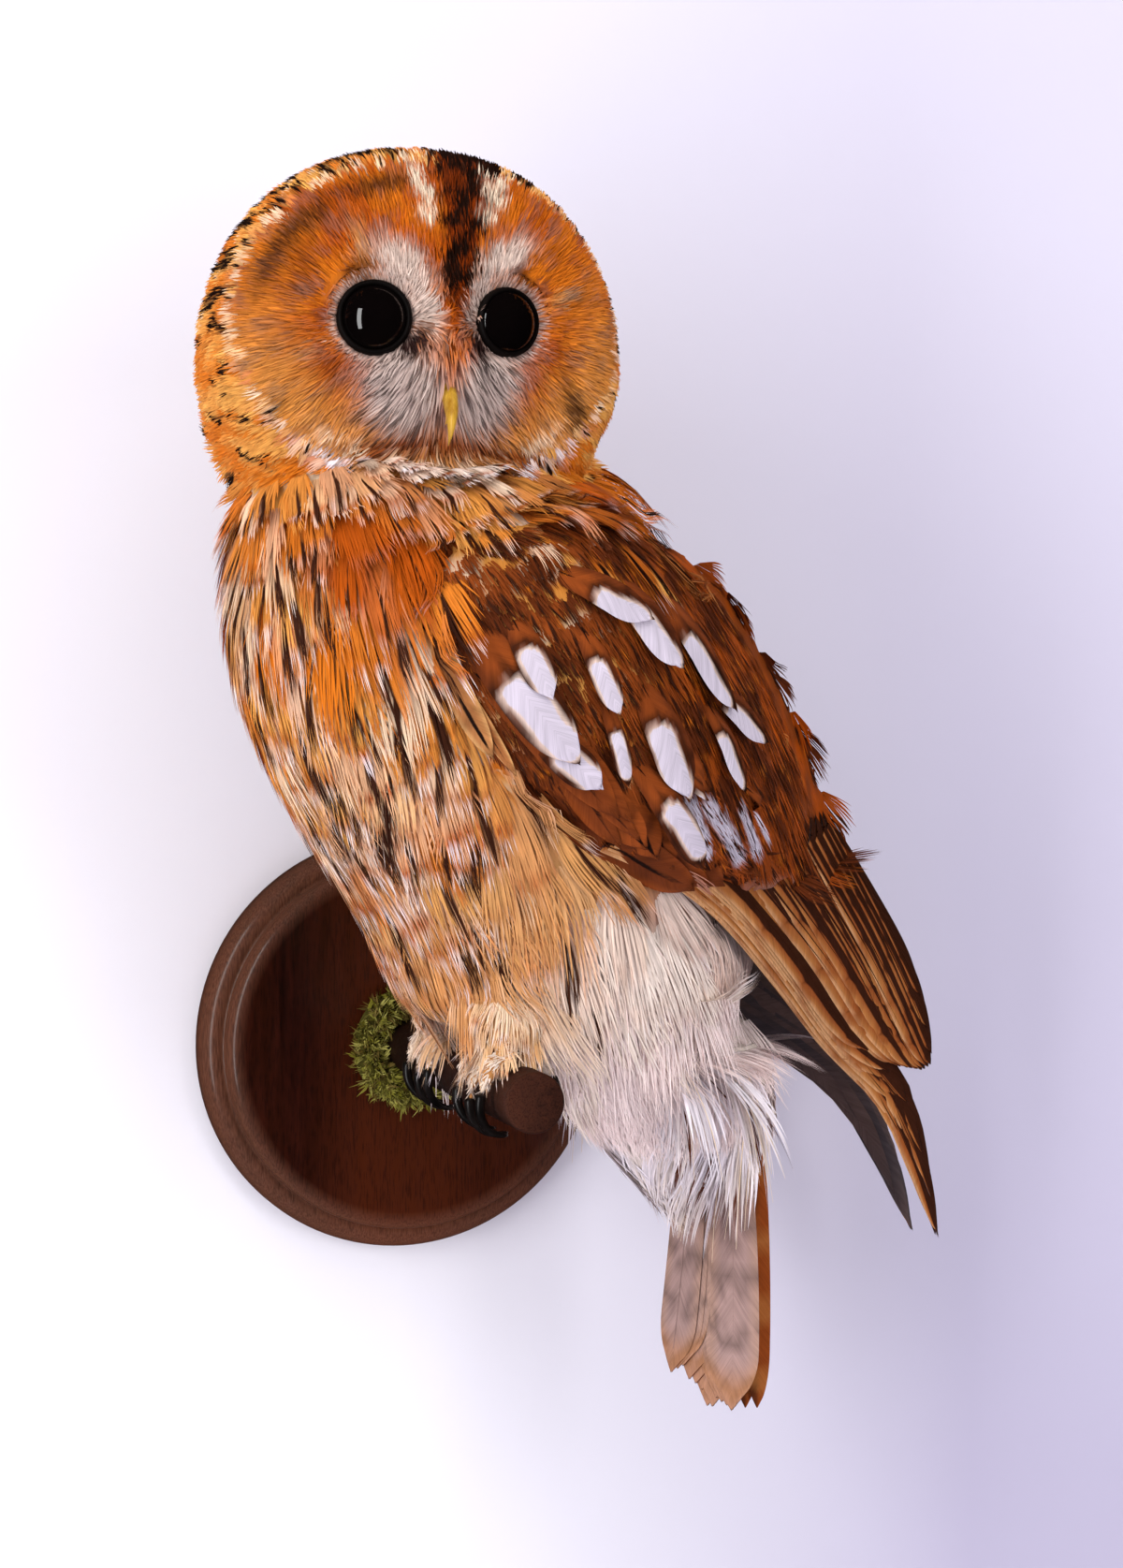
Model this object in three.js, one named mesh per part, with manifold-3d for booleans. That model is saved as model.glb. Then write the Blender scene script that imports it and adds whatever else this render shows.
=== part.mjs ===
// A life-size mounted tawny owl, gripping a wooden perch rod that stands out from a turned round
// wall plaque, with a ring of moss round the foot of the rod.
//
// Millimetres, +Z up. The origin is the centre of the plaque's flat back, the wall is the plane
// y = 0, and the whole mount stands out from it towards -Y. The owl is laid out in a frame of its
// own: +X forward through the breast, +Y to the owl's left, +Z up, with its origin on the axis of
// the rod, midway between the feet.
import * as THREE from 'three';
import { mergeVertices } from 'three/addons/utils/BufferGeometryUtils.js';
import Module from 'manifold-3d';

const wasm = await Module();
wasm.setup();

// ---- driving dimensions -------------------------------------------------------------------
const GAP = 0.3; // air left between two neighbouring solids
const WING_GAP = 0.6; // air left round a folded wing

const PLAQUE = { radius: 62.2, thick: 17, panelRadius: 51, beadRadius: 55.6, bandThick: 10.4, sides: 36 };
const ROD = { radius: 8.2, end: 146.5, chamfer: 0.8, sides: 16 };
const MOSS = { ringRadius: 13.6, halfWidth: 4.9, height: 6.5, lump: 1.3 };

const STANCE = { alongRod: 98, turn: -70, footSpread: 27 }; // turn: degrees from straight out of the wall
const HEAD = {
  forward: 26, left: 0, up: 198, turn: 2, tilt: 3, roll: -0.4, fullness: 2.4,
  halfWidth: 57, halfDepth: 48.5, halfUp: 55.5, halfDown: 48,
};
const DISC = {
  halfWidth: 49.5, halfHeight: 38.5, up: 5, front: 38, slope: 11.5,
  ridge: 7, ridgeWidth: 9, hollow: 3, hollowRadius: 13, ruff: 1.4,
};
const EYE = { radius: 10.6, apart: 36.8, forward: 27, up: 6.8 };
const BILL = { root: [0, 38.8, -1.8], length: 27, width: 4.2, depth: 5.6, lowerLength: 15, lean: 3.4 };
const FOOT_PAD = [6.5, 8.5, 3.6]; // half sizes across the rod, along it and up
const TOE = { radius: 3.5, tipRadius: 2.7 };
const CLAW = { radius: 1.75, tipRadius: 0.35, wrap: 74 }; // wrap: degrees round the rod
const NECK_CUT = 156; // height of the thin cut that parts the neck from the trunk

// Stations of the trunk from the vent up to the throat: height, middle (forward), half depth
// (fore and aft) and half width.
const TRUNK = [
  [16.2, -31, 46, 36],
  [20, -30.5, 54, 41],
  [38, -30, 64, 44],
  [64, -17, 71, 48],
  [90, -4.5, 74.5, 51],
  [116, 7, 72, 53],
  [142, 16, 62.5, 51],
  [160, 18.5, 59, 44.5],
  [173, 20, 51, 32],
  [186, 22, 30, 16],
];

// Stations of the soft feathering under and over the root of the tail, from its lowest tip up.
const VENT = [
  [-50, -73, 8, 9],
  [-38, -70, 17, 17],
  [-24, -64, 27, 24],
  [-8, -61, 38, 30],
  [6, -60, 41, 33],
  [18, -58, 36, 30],
];

// Stations of one feathered leg from the toes up: height, forward, outward, half depth, half width.
const LEG = [
  [9.5, 3.5, 0, 9.5, 9],
  [16, 1, -0.5, 12.5, 11],
  [27, -5, -6, 14, 11],
  [38, -9, -11, 11, 8],
];

// The two long edges of a folded wing, as [forward, outward, up] from the shoulder to the tip.
const SHIELD = {
  front: [[40, 44, 160], [49, 46, 140], [47, 47.5, 118], [38, 49, 96], [18, 50.5, 76], [-11, 50, 62], [-37, 47, 52]],
  back: [[-30, 25, 160], [-66, 18, 142], [-89, 15, 118], [-105, 13, 94], [-115, 12, 74], [-121, 12, 60], [-110, 18, 47]],
  bulge: [14, 24, 27, 27, 23, 16, 6],
  thick: 7,
};
const SECONDARIES = {
  front: [[-50, 42, 62], [-70, 36, 47], [-95, 27, 29], [-120, 18, 9], [-144, 12, -10]],
  back: [[-113, 12, 68], [-127, 9.5, 53], [-143, 7.5, 33], [-158, 6, 11], [-165, 5, -7]],
  bulge: [9, 6, 4, 2, 1],
  thick: 3.4,
};
const PRIMARIES = {
  front: [[-2, 49, 66], [-26, 47, 57], [-50, 42, 44], [-80, 30, 23], [-108, 18, 3], [-137, 10.5, -20], [-158, 7, -44]],
  back: [[-12, 50, 74], [-38, 44.5, 66], [-64, 36, 51], [-93, 26, 30], [-122, 15, 7], [-151, 8.5, -16], [-166, 6, -46]],
  bulge: [1, 1, 1, 1, 0.6, 0.4, 0],
  tip: [-166, 5, -61],
  thick: 3,
};

// The tail hangs straight down, from its tip up: height, middle (forward), half thickness and half width.
const TAIL = [
  [-107, -85, 1.2, 9],
  [-96, -85, 1.8, 20],
  [-75, -85, 2.4, 23.5],
  [-40, -84.5, 3, 21.5],
  [-10, -83, 3.4, 17],
  [14, -80, 3.2, 11],
];

const TURN = Math.PI / 180;
const COLOUR = {
  wood: [0x3a1a10, 0.3], rod: [0x3b241b, 0.6], moss: [0x5c6a26, 1], rufous: [0xa8612c, 0.9],
  buff: [0xd9b98c, 0.95], disc: [0xb9682b, 0.9], brown: [0x6b4229, 0.85], flight: [0x8a5c38, 0.8],
  white: [0xe6dccf, 0.95], glass: [0x050505, 0.05], bill: [0xc79a2a, 0.4], horn: [0x18120f, 0.3],
};

const group = new THREE.Group();

// ---- making solids ------------------------------------------------------------------------

// Smooth curve through rows of equal length; the result is a function of t from 0 to 1.
function smooth(rows) {
  const columns = rows[0].map((_, column) => rows.map((row) => row[column]));
  const at = (values, index) => values[THREE.MathUtils.clamp(index, 0, values.length - 1)];
  return (t) => {
    const place = t * (rows.length - 1);
    const i = Math.min(Math.floor(place), rows.length - 2);
    const f = place - i;
    return columns.map((v) => {
      const [a, b, c, d] = [at(v, i - 1), at(v, i), at(v, i + 1), at(v, i + 2)];
      return b + 0.5 * f * (c - a + f * (2 * a - 5 * b + 4 * c - d + f * (3 * (b - c) + d - a)));
    });
  };
}

// A closed skin of rings: place(t, angle) gives the point at height t and angle round the ring.
function skin(around, rings, place) {
  const geometry = new THREE.SphereGeometry(1, around, rings);
  const uv = geometry.attributes.uv;
  const position = geometry.attributes.position;
  for (let i = 0; i < position.count; i += 1) {
    const t = 1 - Math.round(uv.getY(i) * rings) / rings;
    const pole = t === 0 || t === 1;
    const angle = pole ? 0 : (Math.round((uv.getX(i)) * around) % around) * (2 * Math.PI / around);
    position.setXYZ(i, ...place(t, angle, pole));
  }
  return solid(geometry);
}

// Turns a geometry into a manifold solid, with its faces turned outwards.
function solid(geometry) {
  geometry.deleteAttribute('normal');
  geometry.deleteAttribute('uv');
  const merged = mergeVertices(geometry, 1e-4);
  const points = merged.attributes.position.array;
  const faces = [];
  let volume = 0;
  const corner = (index) => new THREE.Vector3().fromArray(points, index * 3);
  for (let i = 0; i < merged.index.count; i += 3) {
    const [a, b, c] = [0, 1, 2].map((k) => merged.index.array[i + k]);
    if (a !== b && b !== c && c !== a) {
      faces.push(a, b, c);
      volume += corner(a).dot(corner(b).cross(corner(c)));
    }
  }
  if (volume < 0) for (let i = 0; i < faces.length; i += 3) [faces[i], faces[i + 1]] = [faces[i + 1], faces[i]];
  return new wasm.Manifold(new wasm.Mesh({
    numProp: 3, vertProperties: new Float32Array(points), triVerts: new Uint32Array(faces),
  }));
}

// Adds a solid to the model as a named mesh.
function add(name, body, [colour, roughness], parent = group) {
  const mesh = body.getMesh();
  const geometry = new THREE.BufferGeometry();
  geometry.setAttribute('position', new THREE.BufferAttribute(new Float32Array(mesh.vertProperties), 3));
  geometry.setIndex(new THREE.BufferAttribute(new Uint32Array(mesh.triVerts), 1));
  const piece = new THREE.Mesh(geometry, new THREE.MeshStandardMaterial({ color: colour, roughness, metalness: 0 }));
  piece.name = name;
  parent.add(piece);
}

// A rounded body stacked from stations [height, forward, (outward,) half depth, half width].
function stacked(stations, around, rings, grow = 0, outward = 0) {
  const shape = smooth(stations.map((row) => (row.length === 4 ? [row[0], row[1], 0, row[2], row[3]] : row)));
  return skin(around, rings, (t, angle, pole) => {
    const [height, forward, aside, depth, width] = shape(t);
    const end = t < 0.5 ? -1 : 1;
    const reach = pole ? 0 : 1;
    return [
      forward + reach * (depth + grow) * Math.cos(angle),
      outward + aside + reach * (width + grow) * Math.sin(angle),
      height + grow * end * (1 - 4 * t * (1 - t)),
    ];
  });
}

// A thin curved plate between a front and a back edge; side is +1 for the left wing, -1 for the right.
function plate({ front, back, bulge, thick, tip }, side, around, rings, grow = 0) {
  const lower = smooth(tip ? [...front, tip] : front);
  const upper = smooth(tip ? [...back, tip] : back);
  const swell = smooth((tip ? [...bulge, 0] : bulge).map((value) => [value]));
  const middle = (t, c) => {
    const a = new THREE.Vector3(...lower(t));
    const b = new THREE.Vector3(...upper(t));
    return a.lerp(b, (c + 1) / 2).add(new THREE.Vector3(0, swell(t)[0] * (1 - c * c), 0));
  };
  return skin(around, rings, (v, angle, pole) => {
    const t = THREE.MathUtils.clamp(v, 0.004, 0.996);
    const cap = Math.sqrt(Math.max(0, 1 - Math.max(0, (0.14 - t) / 0.14) ** 2));
    const c = pole ? 0 : Math.cos(angle) * cap;
    const step = 0.01;
    const across = middle(t, c + step).sub(middle(t, c - step));
    const along = middle(Math.min(t + step, 1), c).sub(middle(Math.max(t - step, 0), c));
    const out = across.clone().cross(along).normalize();
    if (out.y < 0) out.negate();
    const half = (thick / 2) * (1 - 0.45 * t);
    const lift = pole ? 0 : Math.sign(Math.sin(angle)) * Math.abs(Math.sin(angle)) ** 0.55 * (half + grow);
    const point = middle(t, c).addScaledVector(out, lift - half);
    if (pole) point.addScaledVector(along.normalize(), grow * (v < 0.5 ? -1 : 1));
    else point.add(across.setLength(grow * Math.cos(angle)));
    return [point.x, side * point.y, point.z];
  });
}

// A plate and the room that it needs: the plate grown all round, and shifted where its ends turn.
function plateAndRoom(form, side, around, rings) {
  const body = plate(form, side, around, rings);
  const shifts = [[0, -side, 0], [0, 0, 1], [0, 0, -1]].map((way) => way.map((value) => value * GAP));
  const room = shifts.reduce((all, shift) => all.add(body.translate(shift)), plate(form, side, around, rings, WING_GAP));
  return [body, room];
}

// A tapering horn or toe along path(t) in a vertical plane, with a round section.
function horn(path, radius, around, rings) {
  return skin(around, rings, (t, angle, pole) => {
    const here = path(t);
    const ahead = path(Math.min(t + 0.02, 1)).sub(path(Math.max(t - 0.02, 0))).normalize();
    const aside = new THREE.Vector3(0, 1, 0).addScaledVector(ahead, -ahead.y).normalize();
    const over = ahead.clone().cross(aside);
    const size = pole ? 0 : radius(t);
    return here.addScaledVector(aside, size * Math.cos(angle)).addScaledVector(over, size * Math.sin(angle)).toArray();
  });
}

// ---- plaque, rod and moss -----------------------------------------------------------------

// Quarter-round from one [radius, height] to another, bulging outwards.
function quarter([r0, h0], [r1, h1], steps) {
  return Array.from({ length: steps + 1 }, (_, i) => {
    const a = (i / steps) * Math.PI / 2;
    return new THREE.Vector2(r1 + (r0 - r1) * Math.cos(a), h0 + (h1 - h0) * Math.sin(a));
  });
}

function plaque() {
  const { radius, thick, panelRadius, beadRadius, bandThick, sides } = PLAQUE;
  const profile = [
    new THREE.Vector2(0, 0), new THREE.Vector2(radius - 1, 0), new THREE.Vector2(radius, 1),
    ...quarter([radius, bandThick - 5.5], [beadRadius + 1, bandThick], 3),
    new THREE.Vector2(beadRadius, bandThick - 0.4),
    ...quarter([beadRadius, thick - 3.6], [panelRadius, thick], 2),
    new THREE.Vector2(0, thick),
  ];
  return solid(new THREE.LatheGeometry(profile, sides).rotateX(Math.PI));
}

function rod() {
  const { radius, end, chamfer, sides } = ROD;
  const from = PLAQUE.thick + GAP;
  const profile = [
    [0, from], [radius, from], [radius, end - chamfer], [radius - chamfer, end], [0, end],
  ].map(([r, h]) => new THREE.Vector2(r, h));
  return solid(new THREE.LatheGeometry(profile, sides).rotateX(Math.PI));
}

function moss() {
  const { ringRadius, halfWidth, height, lump } = MOSS;
  const inner = ROD.radius + GAP;
  const from = PLAQUE.thick + GAP;
  const profile = Array.from({ length: 8 }, (_, i) => {
    const a = (i / 7) * 2 * Math.PI;
    return new THREE.Vector2(ringRadius + halfWidth * Math.cos(a), from + height / 2 * (1 - Math.sin(a)));
  });
  profile[7] = profile[0].clone();
  const ring = new THREE.LatheGeometry(profile, 18);
  const position = ring.attributes.position;
  for (let i = 0; i < position.count; i += 1) {
    const [x, y, z] = [position.getX(i), position.getY(i), position.getZ(i)];
    const a = Math.round(Math.atan2(z, x) * 1e4) / 1e4;
    const r = Math.hypot(x, z);
    const outer = Math.max(0, (r - ringRadius) / halfWidth);
    const tall = (y - from) / height;
    const swell = lump * (Math.sin(5 * a) + 0.7 * Math.cos(3 * a + 1));
    const wide = Math.max(inner, r + outer * swell);
    position.setXYZ(i, x / r * wide, Math.max(from, y + 0.6 * tall * swell), z / r * wide);
  }
  return solid(ring.rotateX(Math.PI));
}

// ---- head ---------------------------------------------------------------------------------

// Head frame: x to the owl's right, y forward out of the face, z up.
function headForm(grow = 0) {
  const { halfWidth, halfDepth, halfUp, halfDown } = HEAD;
  return skin(26, 15, (t, angle) => {
    const polar = t * Math.PI;
    const level = -Math.sign(Math.cos(polar)) * Math.abs(Math.cos(polar)) ** (2 / HEAD.fullness);
    const flat = Math.sin(polar) ** (2 / HEAD.fullness);
    const tall = level > 0 ? halfUp : halfDown;
    let x = halfWidth * flat * Math.cos(angle);
    let y = halfDepth * flat * Math.sin(angle);
    let z = tall * level;
    const cheek = 1 + 0.05 * Math.exp(-(((z + 6) / 24) ** 2)) - 0.06 * Math.max(0, level) ** 2;
    x *= cheek;
    if (y > 0) {
      const rim = Math.hypot(x / DISC.halfWidth, (z - DISC.up) / DISC.halfHeight);
      const inside = Math.max(0, 1 - rim * rim);
      const eyes = Math.hypot(Math.abs(x) - EYE.apart / 2, z - EYE.up) / DISC.hollowRadius;
      const low = Math.exp(-(((z + 5) / 17) ** 2));
      y = Math.min(y, DISC.front - DISC.slope * rim ** 2);
      y += inside * DISC.ridge * Math.exp(-((x / DISC.ridgeWidth) ** 2)) * (0.45 + 0.55 * low);
      y -= DISC.hollow * Math.exp(-(eyes ** 2));
      y += DISC.ruff * Math.exp(-(((rim - 1.02) / 0.09) ** 2));
    }
    const size = Math.hypot(x, y, z) || 1;
    return [x + grow * x / size, y + grow * y / size, z + grow * z / size];
  });
}

// Turns a solid of the head frame into the owl's frame.
function onHead(body) {
  const spin = HEAD.turn - STANCE.turn;
  return body.rotate([HEAD.tilt, HEAD.roll, 0]).rotate([0, 0, spin - 90]).translate([HEAD.forward, HEAD.left, HEAD.up]);
}

function eye(side, grow = 0) {
  const { radius, apart, forward, up } = EYE;
  return skin(12, 8, (t, angle) => {
    const polar = t * Math.PI;
    const size = radius + grow;
    return [
      side * apart / 2 + size * Math.sin(polar) * Math.cos(angle),
      forward + size * Math.sin(polar) * Math.sin(angle),
      up - size * Math.cos(polar),
    ];
  });
}

function billHalf(length, width, depth, drop, grow = 0) {
  const [x0, y0, z0] = BILL.root;
  const path = (t) => new THREE.Vector3(x0 + BILL.lean * (t - 0.6), y0 + 5.5 * Math.sin(t * 2.6), z0 - drop - length * t);
  const taper = (t) => Math.sin(Math.PI * (0.16 + 0.84 * t) ** 0.8);
  return skin(8, 7, (t, angle, pole) => {
    const here = path(t);
    const size = pole ? 0 : taper(t);
    return [
      here.x + (width / 2 * size + grow) * Math.cos(angle),
      here.y + (depth / 2 * size + grow) * Math.sin(angle) - drop * 0.9,
      here.z + (pole ? 3 * grow * (t < 0.5 ? 1 : -1) : 0),
    ];
  });
}

// ---- feet ---------------------------------------------------------------------------------

// Rod frame: the toe's plane crosses the rod at height along (outward of the foot); forward toes
// have way +1 and the hind toe -1. The angle runs from the top of the rod down round its side.
function gripPath(way, along, splay, from, to, reach) {
  return (t) => {
    const a = (from + (to - from) * t) * TURN;
    return new THREE.Vector3(way * reach(t) * Math.sin(a), along + splay * Math.sin(a) , reach(t) * Math.cos(a));
  };
}

const TOES = [
  { name: 'inner', way: 1, along: -5.6, splay: -5.5, wrap: 92 },
  { name: 'middle', way: 1, along: 0, splay: 0.5, wrap: 100 },
  { name: 'outer', way: 1, along: 5.6, splay: 6.5, wrap: 88 },
  { name: 'hind', way: -1, along: 0.5, splay: -2, wrap: 78 },
];

function toe({ way, along, splay, wrap }, grow = 0) {
  const reach = () => ROD.radius + GAP + TOE.radius;
  const round = (t) => Math.sqrt(Math.max(0, 1 - Math.abs(2 * t - 1) ** 6));
  const radius = (t) => (TOE.radius + (TOE.tipRadius - TOE.radius) * t) * (0.35 + 0.65 * round(t)) + grow;
  return horn(gripPath(way, along, splay, -14, wrap, reach), radius, 6, 4);
}

// The ball of the foot, which joins the toes over the top of the rod.
function footPad(grow = 0) {
  const [across, along, tall] = FOOT_PAD.map((half) => half + grow);
  const up = ROD.radius + GAP + FOOT_PAD[2];
  return skin(8, 5, (t, angle) => [
    across * Math.sin(t * Math.PI) * Math.cos(angle),
    along * Math.sin(t * Math.PI) * Math.sin(angle),
    up - tall * Math.cos(t * Math.PI),
  ]);
}

function claw({ way, along, splay, wrap }, grow = 0) {
  const start = ROD.radius + GAP + TOE.radius;
  const reach = (t) => start + 1.6 * Math.sin(Math.PI * t) - 1.4 * t;
  const radius = (t) => CLAW.tipRadius + (CLAW.radius - CLAW.tipRadius) * Math.sqrt(1 - t) + grow;
  return horn(gripPath(way, along, splay, wrap - 8, wrap + CLAW.wrap, reach), radius, 6, 4);
}

// ---- the owl ------------------------------------------------------------------------------

const owl = new THREE.Group();
const turn = (STANCE.turn - 90) * TURN;
owl.position.set(0, -STANCE.alongRod, 0);
owl.rotation.z = turn;
group.add(owl);

// The rod frame has x across the rod on the owl's front side and y along it, away from the wall.
const ROD_TURN = 90 - STANCE.turn + 180;
const onRod = (body, side) => body.translate([0, side * STANCE.footSpread, 0]).rotate([0, 0, ROD_TURN]);
const footPlace = (side) => [
  -side * STANCE.footSpread * Math.sin(ROD_TURN * TURN), side * STANCE.footSpread * Math.cos(ROD_TURN * TURN),
];

// One feathered leg, standing on its foot.
function leg(side, grow = 0) {
  const [forward, aside] = footPlace(side);
  const stations = LEG.map(([up, ahead, out, depth, width]) => [up, ahead + forward, out * side + aside, depth, width]);
  return stacked(stations, 12, 5, grow);
}

// The largest of a solid's separate lumps; slivers that a cut leaves are dropped.
const largest = (body) => body.decompose().sort((a, b) => b.volume() - a.volume())[0];

function build() {
  const cut = (body, ...others) => others.reduce((rest, other) => rest.subtract(other), body);
  add('plaque_board', plaque(), COLOUR.wood);
  add('perch_rod', rod(), COLOUR.rod);
  add('moss_ring', moss(), COLOUR.moss);

  const upper = billHalf(BILL.length, BILL.width, BILL.depth, 0);
  const upperRoom = billHalf(BILL.length, BILL.width, BILL.depth, 0, 2 * GAP);
  const lowerSize = [BILL.lowerLength, BILL.width * 0.75, BILL.depth * 0.6, 4.2];
  const lower = largest(billHalf(...lowerSize).subtract(upperRoom));
  const eyes = { left: eye(-1), right: eye(1) };
  const faceRoom = [upperRoom, billHalf(...lowerSize, 2 * GAP), eye(-1, GAP), eye(1, GAP)];
  add('head', onHead(cut(headForm(), ...faceRoom)), COLOUR.disc, owl);
  add('bill_upper', onHead(upper), COLOUR.bill, owl);
  add('bill_lower', onHead(lower), COLOUR.bill, owl);
  for (const [name, ball] of Object.entries(eyes)) add(`eye_${name}`, onHead(ball), COLOUR.glass, owl);

  const tailRoom = stacked(TAIL, 12, 10, GAP);
  let body = cut(stacked(TRUNK, 22, 12), onHead(headForm(GAP)), tailRoom);
  let vent = cut(stacked(VENT, 16, 8), stacked(TRUNK, 22, 12, GAP), tailRoom);
  for (const [name, side] of Object.entries({ left: 1, right: -1 })) {
    const [shield, shieldRoom] = plateAndRoom(SHIELD, side, 16, 10);
    const [flight, secondaryRoom] = plateAndRoom(SECONDARIES, side, 10, 7);
    const [hand, primaryRoom] = plateAndRoom(PRIMARIES, side, 8, 9);
    const secondaries = largest(cut(flight, shieldRoom));
    const primaries = largest(cut(hand, shieldRoom, secondaryRoom));
    add(`wing_${name}_coverts`, shield, COLOUR.brown, owl);
    add(`wing_${name}_secondaries`, secondaries, COLOUR.flight, owl);
    add(`wing_${name}_primaries`, primaries, COLOUR.flight, owl);

    const toes = [footPad(), ...TOES.map((each) => toe(each))].map((body) => onRod(body, side));
    const toeRoom = [footPad(GAP), ...TOES.map((each) => toe(each, GAP))].map((body) => onRod(body, side));
    const claws = TOES.map((each) => onRod(claw(each), side));
    const clawRoom = TOES.map((each) => onRod(claw(each, GAP), side));
    add(`foot_${name}`, cut(toes.reduce((all, one) => all.add(one)), ...clawRoom), COLOUR.buff, owl);
    claws.forEach((horny, i) => add(`claw_${name}_${TOES[i].name}`, horny, COLOUR.horn, owl));
    add(`leg_${name}`, largest(cut(leg(side), ...toeRoom, ...clawRoom, shieldRoom)), COLOUR.buff, owl);
    body = cut(body, shieldRoom, secondaryRoom, primaryRoom, leg(side, GAP), toeRoom[0]);
    vent = cut(vent, shieldRoom, secondaryRoom, primaryRoom, leg(side, GAP));
  }
  add('tail', stacked(TAIL, 12, 10), COLOUR.flight, owl);
  add('vent_coverts', largest(vent), COLOUR.white, owl);

  const above = solid(new THREE.BoxGeometry(400, 400, 400).translate(0, 0, NECK_CUT + 200 + GAP / 2));
  const below = solid(new THREE.BoxGeometry(400, 400, 400).translate(0, 0, NECK_CUT - 200 - GAP / 2));
  add('trunk', largest(body.intersect(below)), COLOUR.buff, owl);
  add('neck', largest(body.intersect(above)), COLOUR.rufous, owl);
}

build();

export default group;
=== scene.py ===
"""A life-size mounted tawny owl on a perch rod and a turned wall plaque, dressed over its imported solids.

The bird is one smooth skin with a coat of mesh feathers. Every feather is a thin curved vane or a fan of
fine blades, rooted on the skin, and all the feathers of one tract of the bird are joined into one piece.
Lengths are millimetres in the owl's own frame (+X forward through the breast, +Y to the owl's left, +Z up)
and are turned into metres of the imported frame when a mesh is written.
"""

import logging
import math
from dataclasses import dataclass, field
from enum import Enum, IntEnum
from typing import Callable, Iterable, Optional, Sequence

import bmesh
import bpy
import numpy as np
from mathutils import Matrix, Vector
from mathutils.bvhtree import BVHTree
from mathutils.kdtree import KDTree


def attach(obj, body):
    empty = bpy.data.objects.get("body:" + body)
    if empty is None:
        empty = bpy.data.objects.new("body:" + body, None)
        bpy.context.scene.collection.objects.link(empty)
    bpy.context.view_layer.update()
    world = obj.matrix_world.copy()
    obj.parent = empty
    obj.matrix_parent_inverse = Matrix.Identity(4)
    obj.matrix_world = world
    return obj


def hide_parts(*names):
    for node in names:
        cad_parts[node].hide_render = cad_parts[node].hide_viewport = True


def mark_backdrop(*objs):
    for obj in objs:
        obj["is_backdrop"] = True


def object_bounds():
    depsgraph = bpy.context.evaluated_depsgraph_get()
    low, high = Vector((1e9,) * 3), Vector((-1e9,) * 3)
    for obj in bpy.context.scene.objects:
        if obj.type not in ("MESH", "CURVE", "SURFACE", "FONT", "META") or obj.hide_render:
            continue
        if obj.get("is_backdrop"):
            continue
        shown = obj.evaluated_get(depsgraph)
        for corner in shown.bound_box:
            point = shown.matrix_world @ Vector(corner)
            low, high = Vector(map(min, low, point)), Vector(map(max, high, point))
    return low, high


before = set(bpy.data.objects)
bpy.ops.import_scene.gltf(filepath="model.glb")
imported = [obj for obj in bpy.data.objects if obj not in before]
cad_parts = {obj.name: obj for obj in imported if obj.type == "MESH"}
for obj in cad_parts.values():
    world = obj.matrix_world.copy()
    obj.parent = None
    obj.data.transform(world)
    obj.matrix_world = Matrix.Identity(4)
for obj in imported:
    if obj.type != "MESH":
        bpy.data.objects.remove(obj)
CAD_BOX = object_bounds()
LOG = logging.getLogger("owl")
MM = 0.001
BODY = "root"
Array = np.ndarray
BMesh = bmesh.types.BMesh
Material = bpy.types.Material
Object = bpy.types.Object
Random = np.random.Generator
Socket = bpy.types.NodeSocket
Brush = Callable[[Array, Array, Array, Array], tuple[Array, Array]]  # called like Plan.paint


# ---- small helpers ------------------------------------------------------------------------

def linear(code: str) -> Array:
    """Turns an sRGB hex colour into linear red, green and blue.

    Args:
        code: six hex digits.

    Returns:
        An array of three numbers from 0 to 1.
    """
    srgb = np.array([int(code[i:i + 2], 16) for i in (0, 2, 4)]) / 255.0
    return np.where(srgb <= 0.04045, srgb / 12.92, ((srgb + 0.055) / 1.055) ** 2.4)


class Tint(Enum):
    """The plumage's colours."""

    DEEP_RUFOUS = "7d2f06"
    RUFOUS = "ae4c0a"
    ORANGE = "d27018"
    BUFF = "e3a04e"
    SAND = "cf9a60"
    CREAM = "f0d9bd"
    BROW = "dcc3b4"
    PATCH = "c9bfcb"
    WHITE = "ede4ea"
    BLUSH = "f6e2dd"
    WARM_WHITE = "ecdacc"
    GREY = "c4aea4"
    DUSK = "6c5650"
    SMUDGE = "2e1c1a"
    # painted shade for the inner lower corners of the eyes
    SEPIA = "3a1c0f"
    UMBER = "1d0e08"
    WING = "8c4218"
    WING_DARK = "5a2810"
    FLIGHT = "b8783f"
    FLIGHT_EDGE = "e6b98a"
    UNDERWING = "4b4244"
    UNDERTAIL = "b4948c"

    @property
    def rgb(self) -> Array:
        """Gives the colour as linear numbers."""
        return linear(self.value)


def rgba(code: str) -> tuple[float, ...]:
    """Gives an sRGB hex colour as a linear colour for a node socket."""
    return (*linear(code), 1.0)


def ramp(low: float, high: float, value: Array) -> Array:
    """Gives a smooth step from 0 at low to 1 at high; low may be the larger one."""
    t = np.clip((value - low) / (high - low), 0.0, 1.0)
    return t * t * (3.0 - 2.0 * t)


def bump_at(value: Array, middle: float, width: float) -> Array:
    """Gives a smooth bell of 1 at middle that falls off over width."""
    return np.exp(-(((value - middle) / width) ** 2))


def unit(vectors: Array) -> Array:
    """Gives vectors scaled to length 1."""
    return vectors / np.maximum(np.linalg.norm(vectors, axis=-1, keepdims=True), 1e-9)


def blend(first: Array | Tint, second: Array | Tint, amount: Array | float) -> Array:
    """Mixes two colours or vectors by an amount for each row."""
    first, second = (side.rgb if isinstance(side, Tint) else side for side in (first, second))
    amount = np.asarray(amount)[..., None]
    return first * (1.0 - amount) + second * amount


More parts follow.
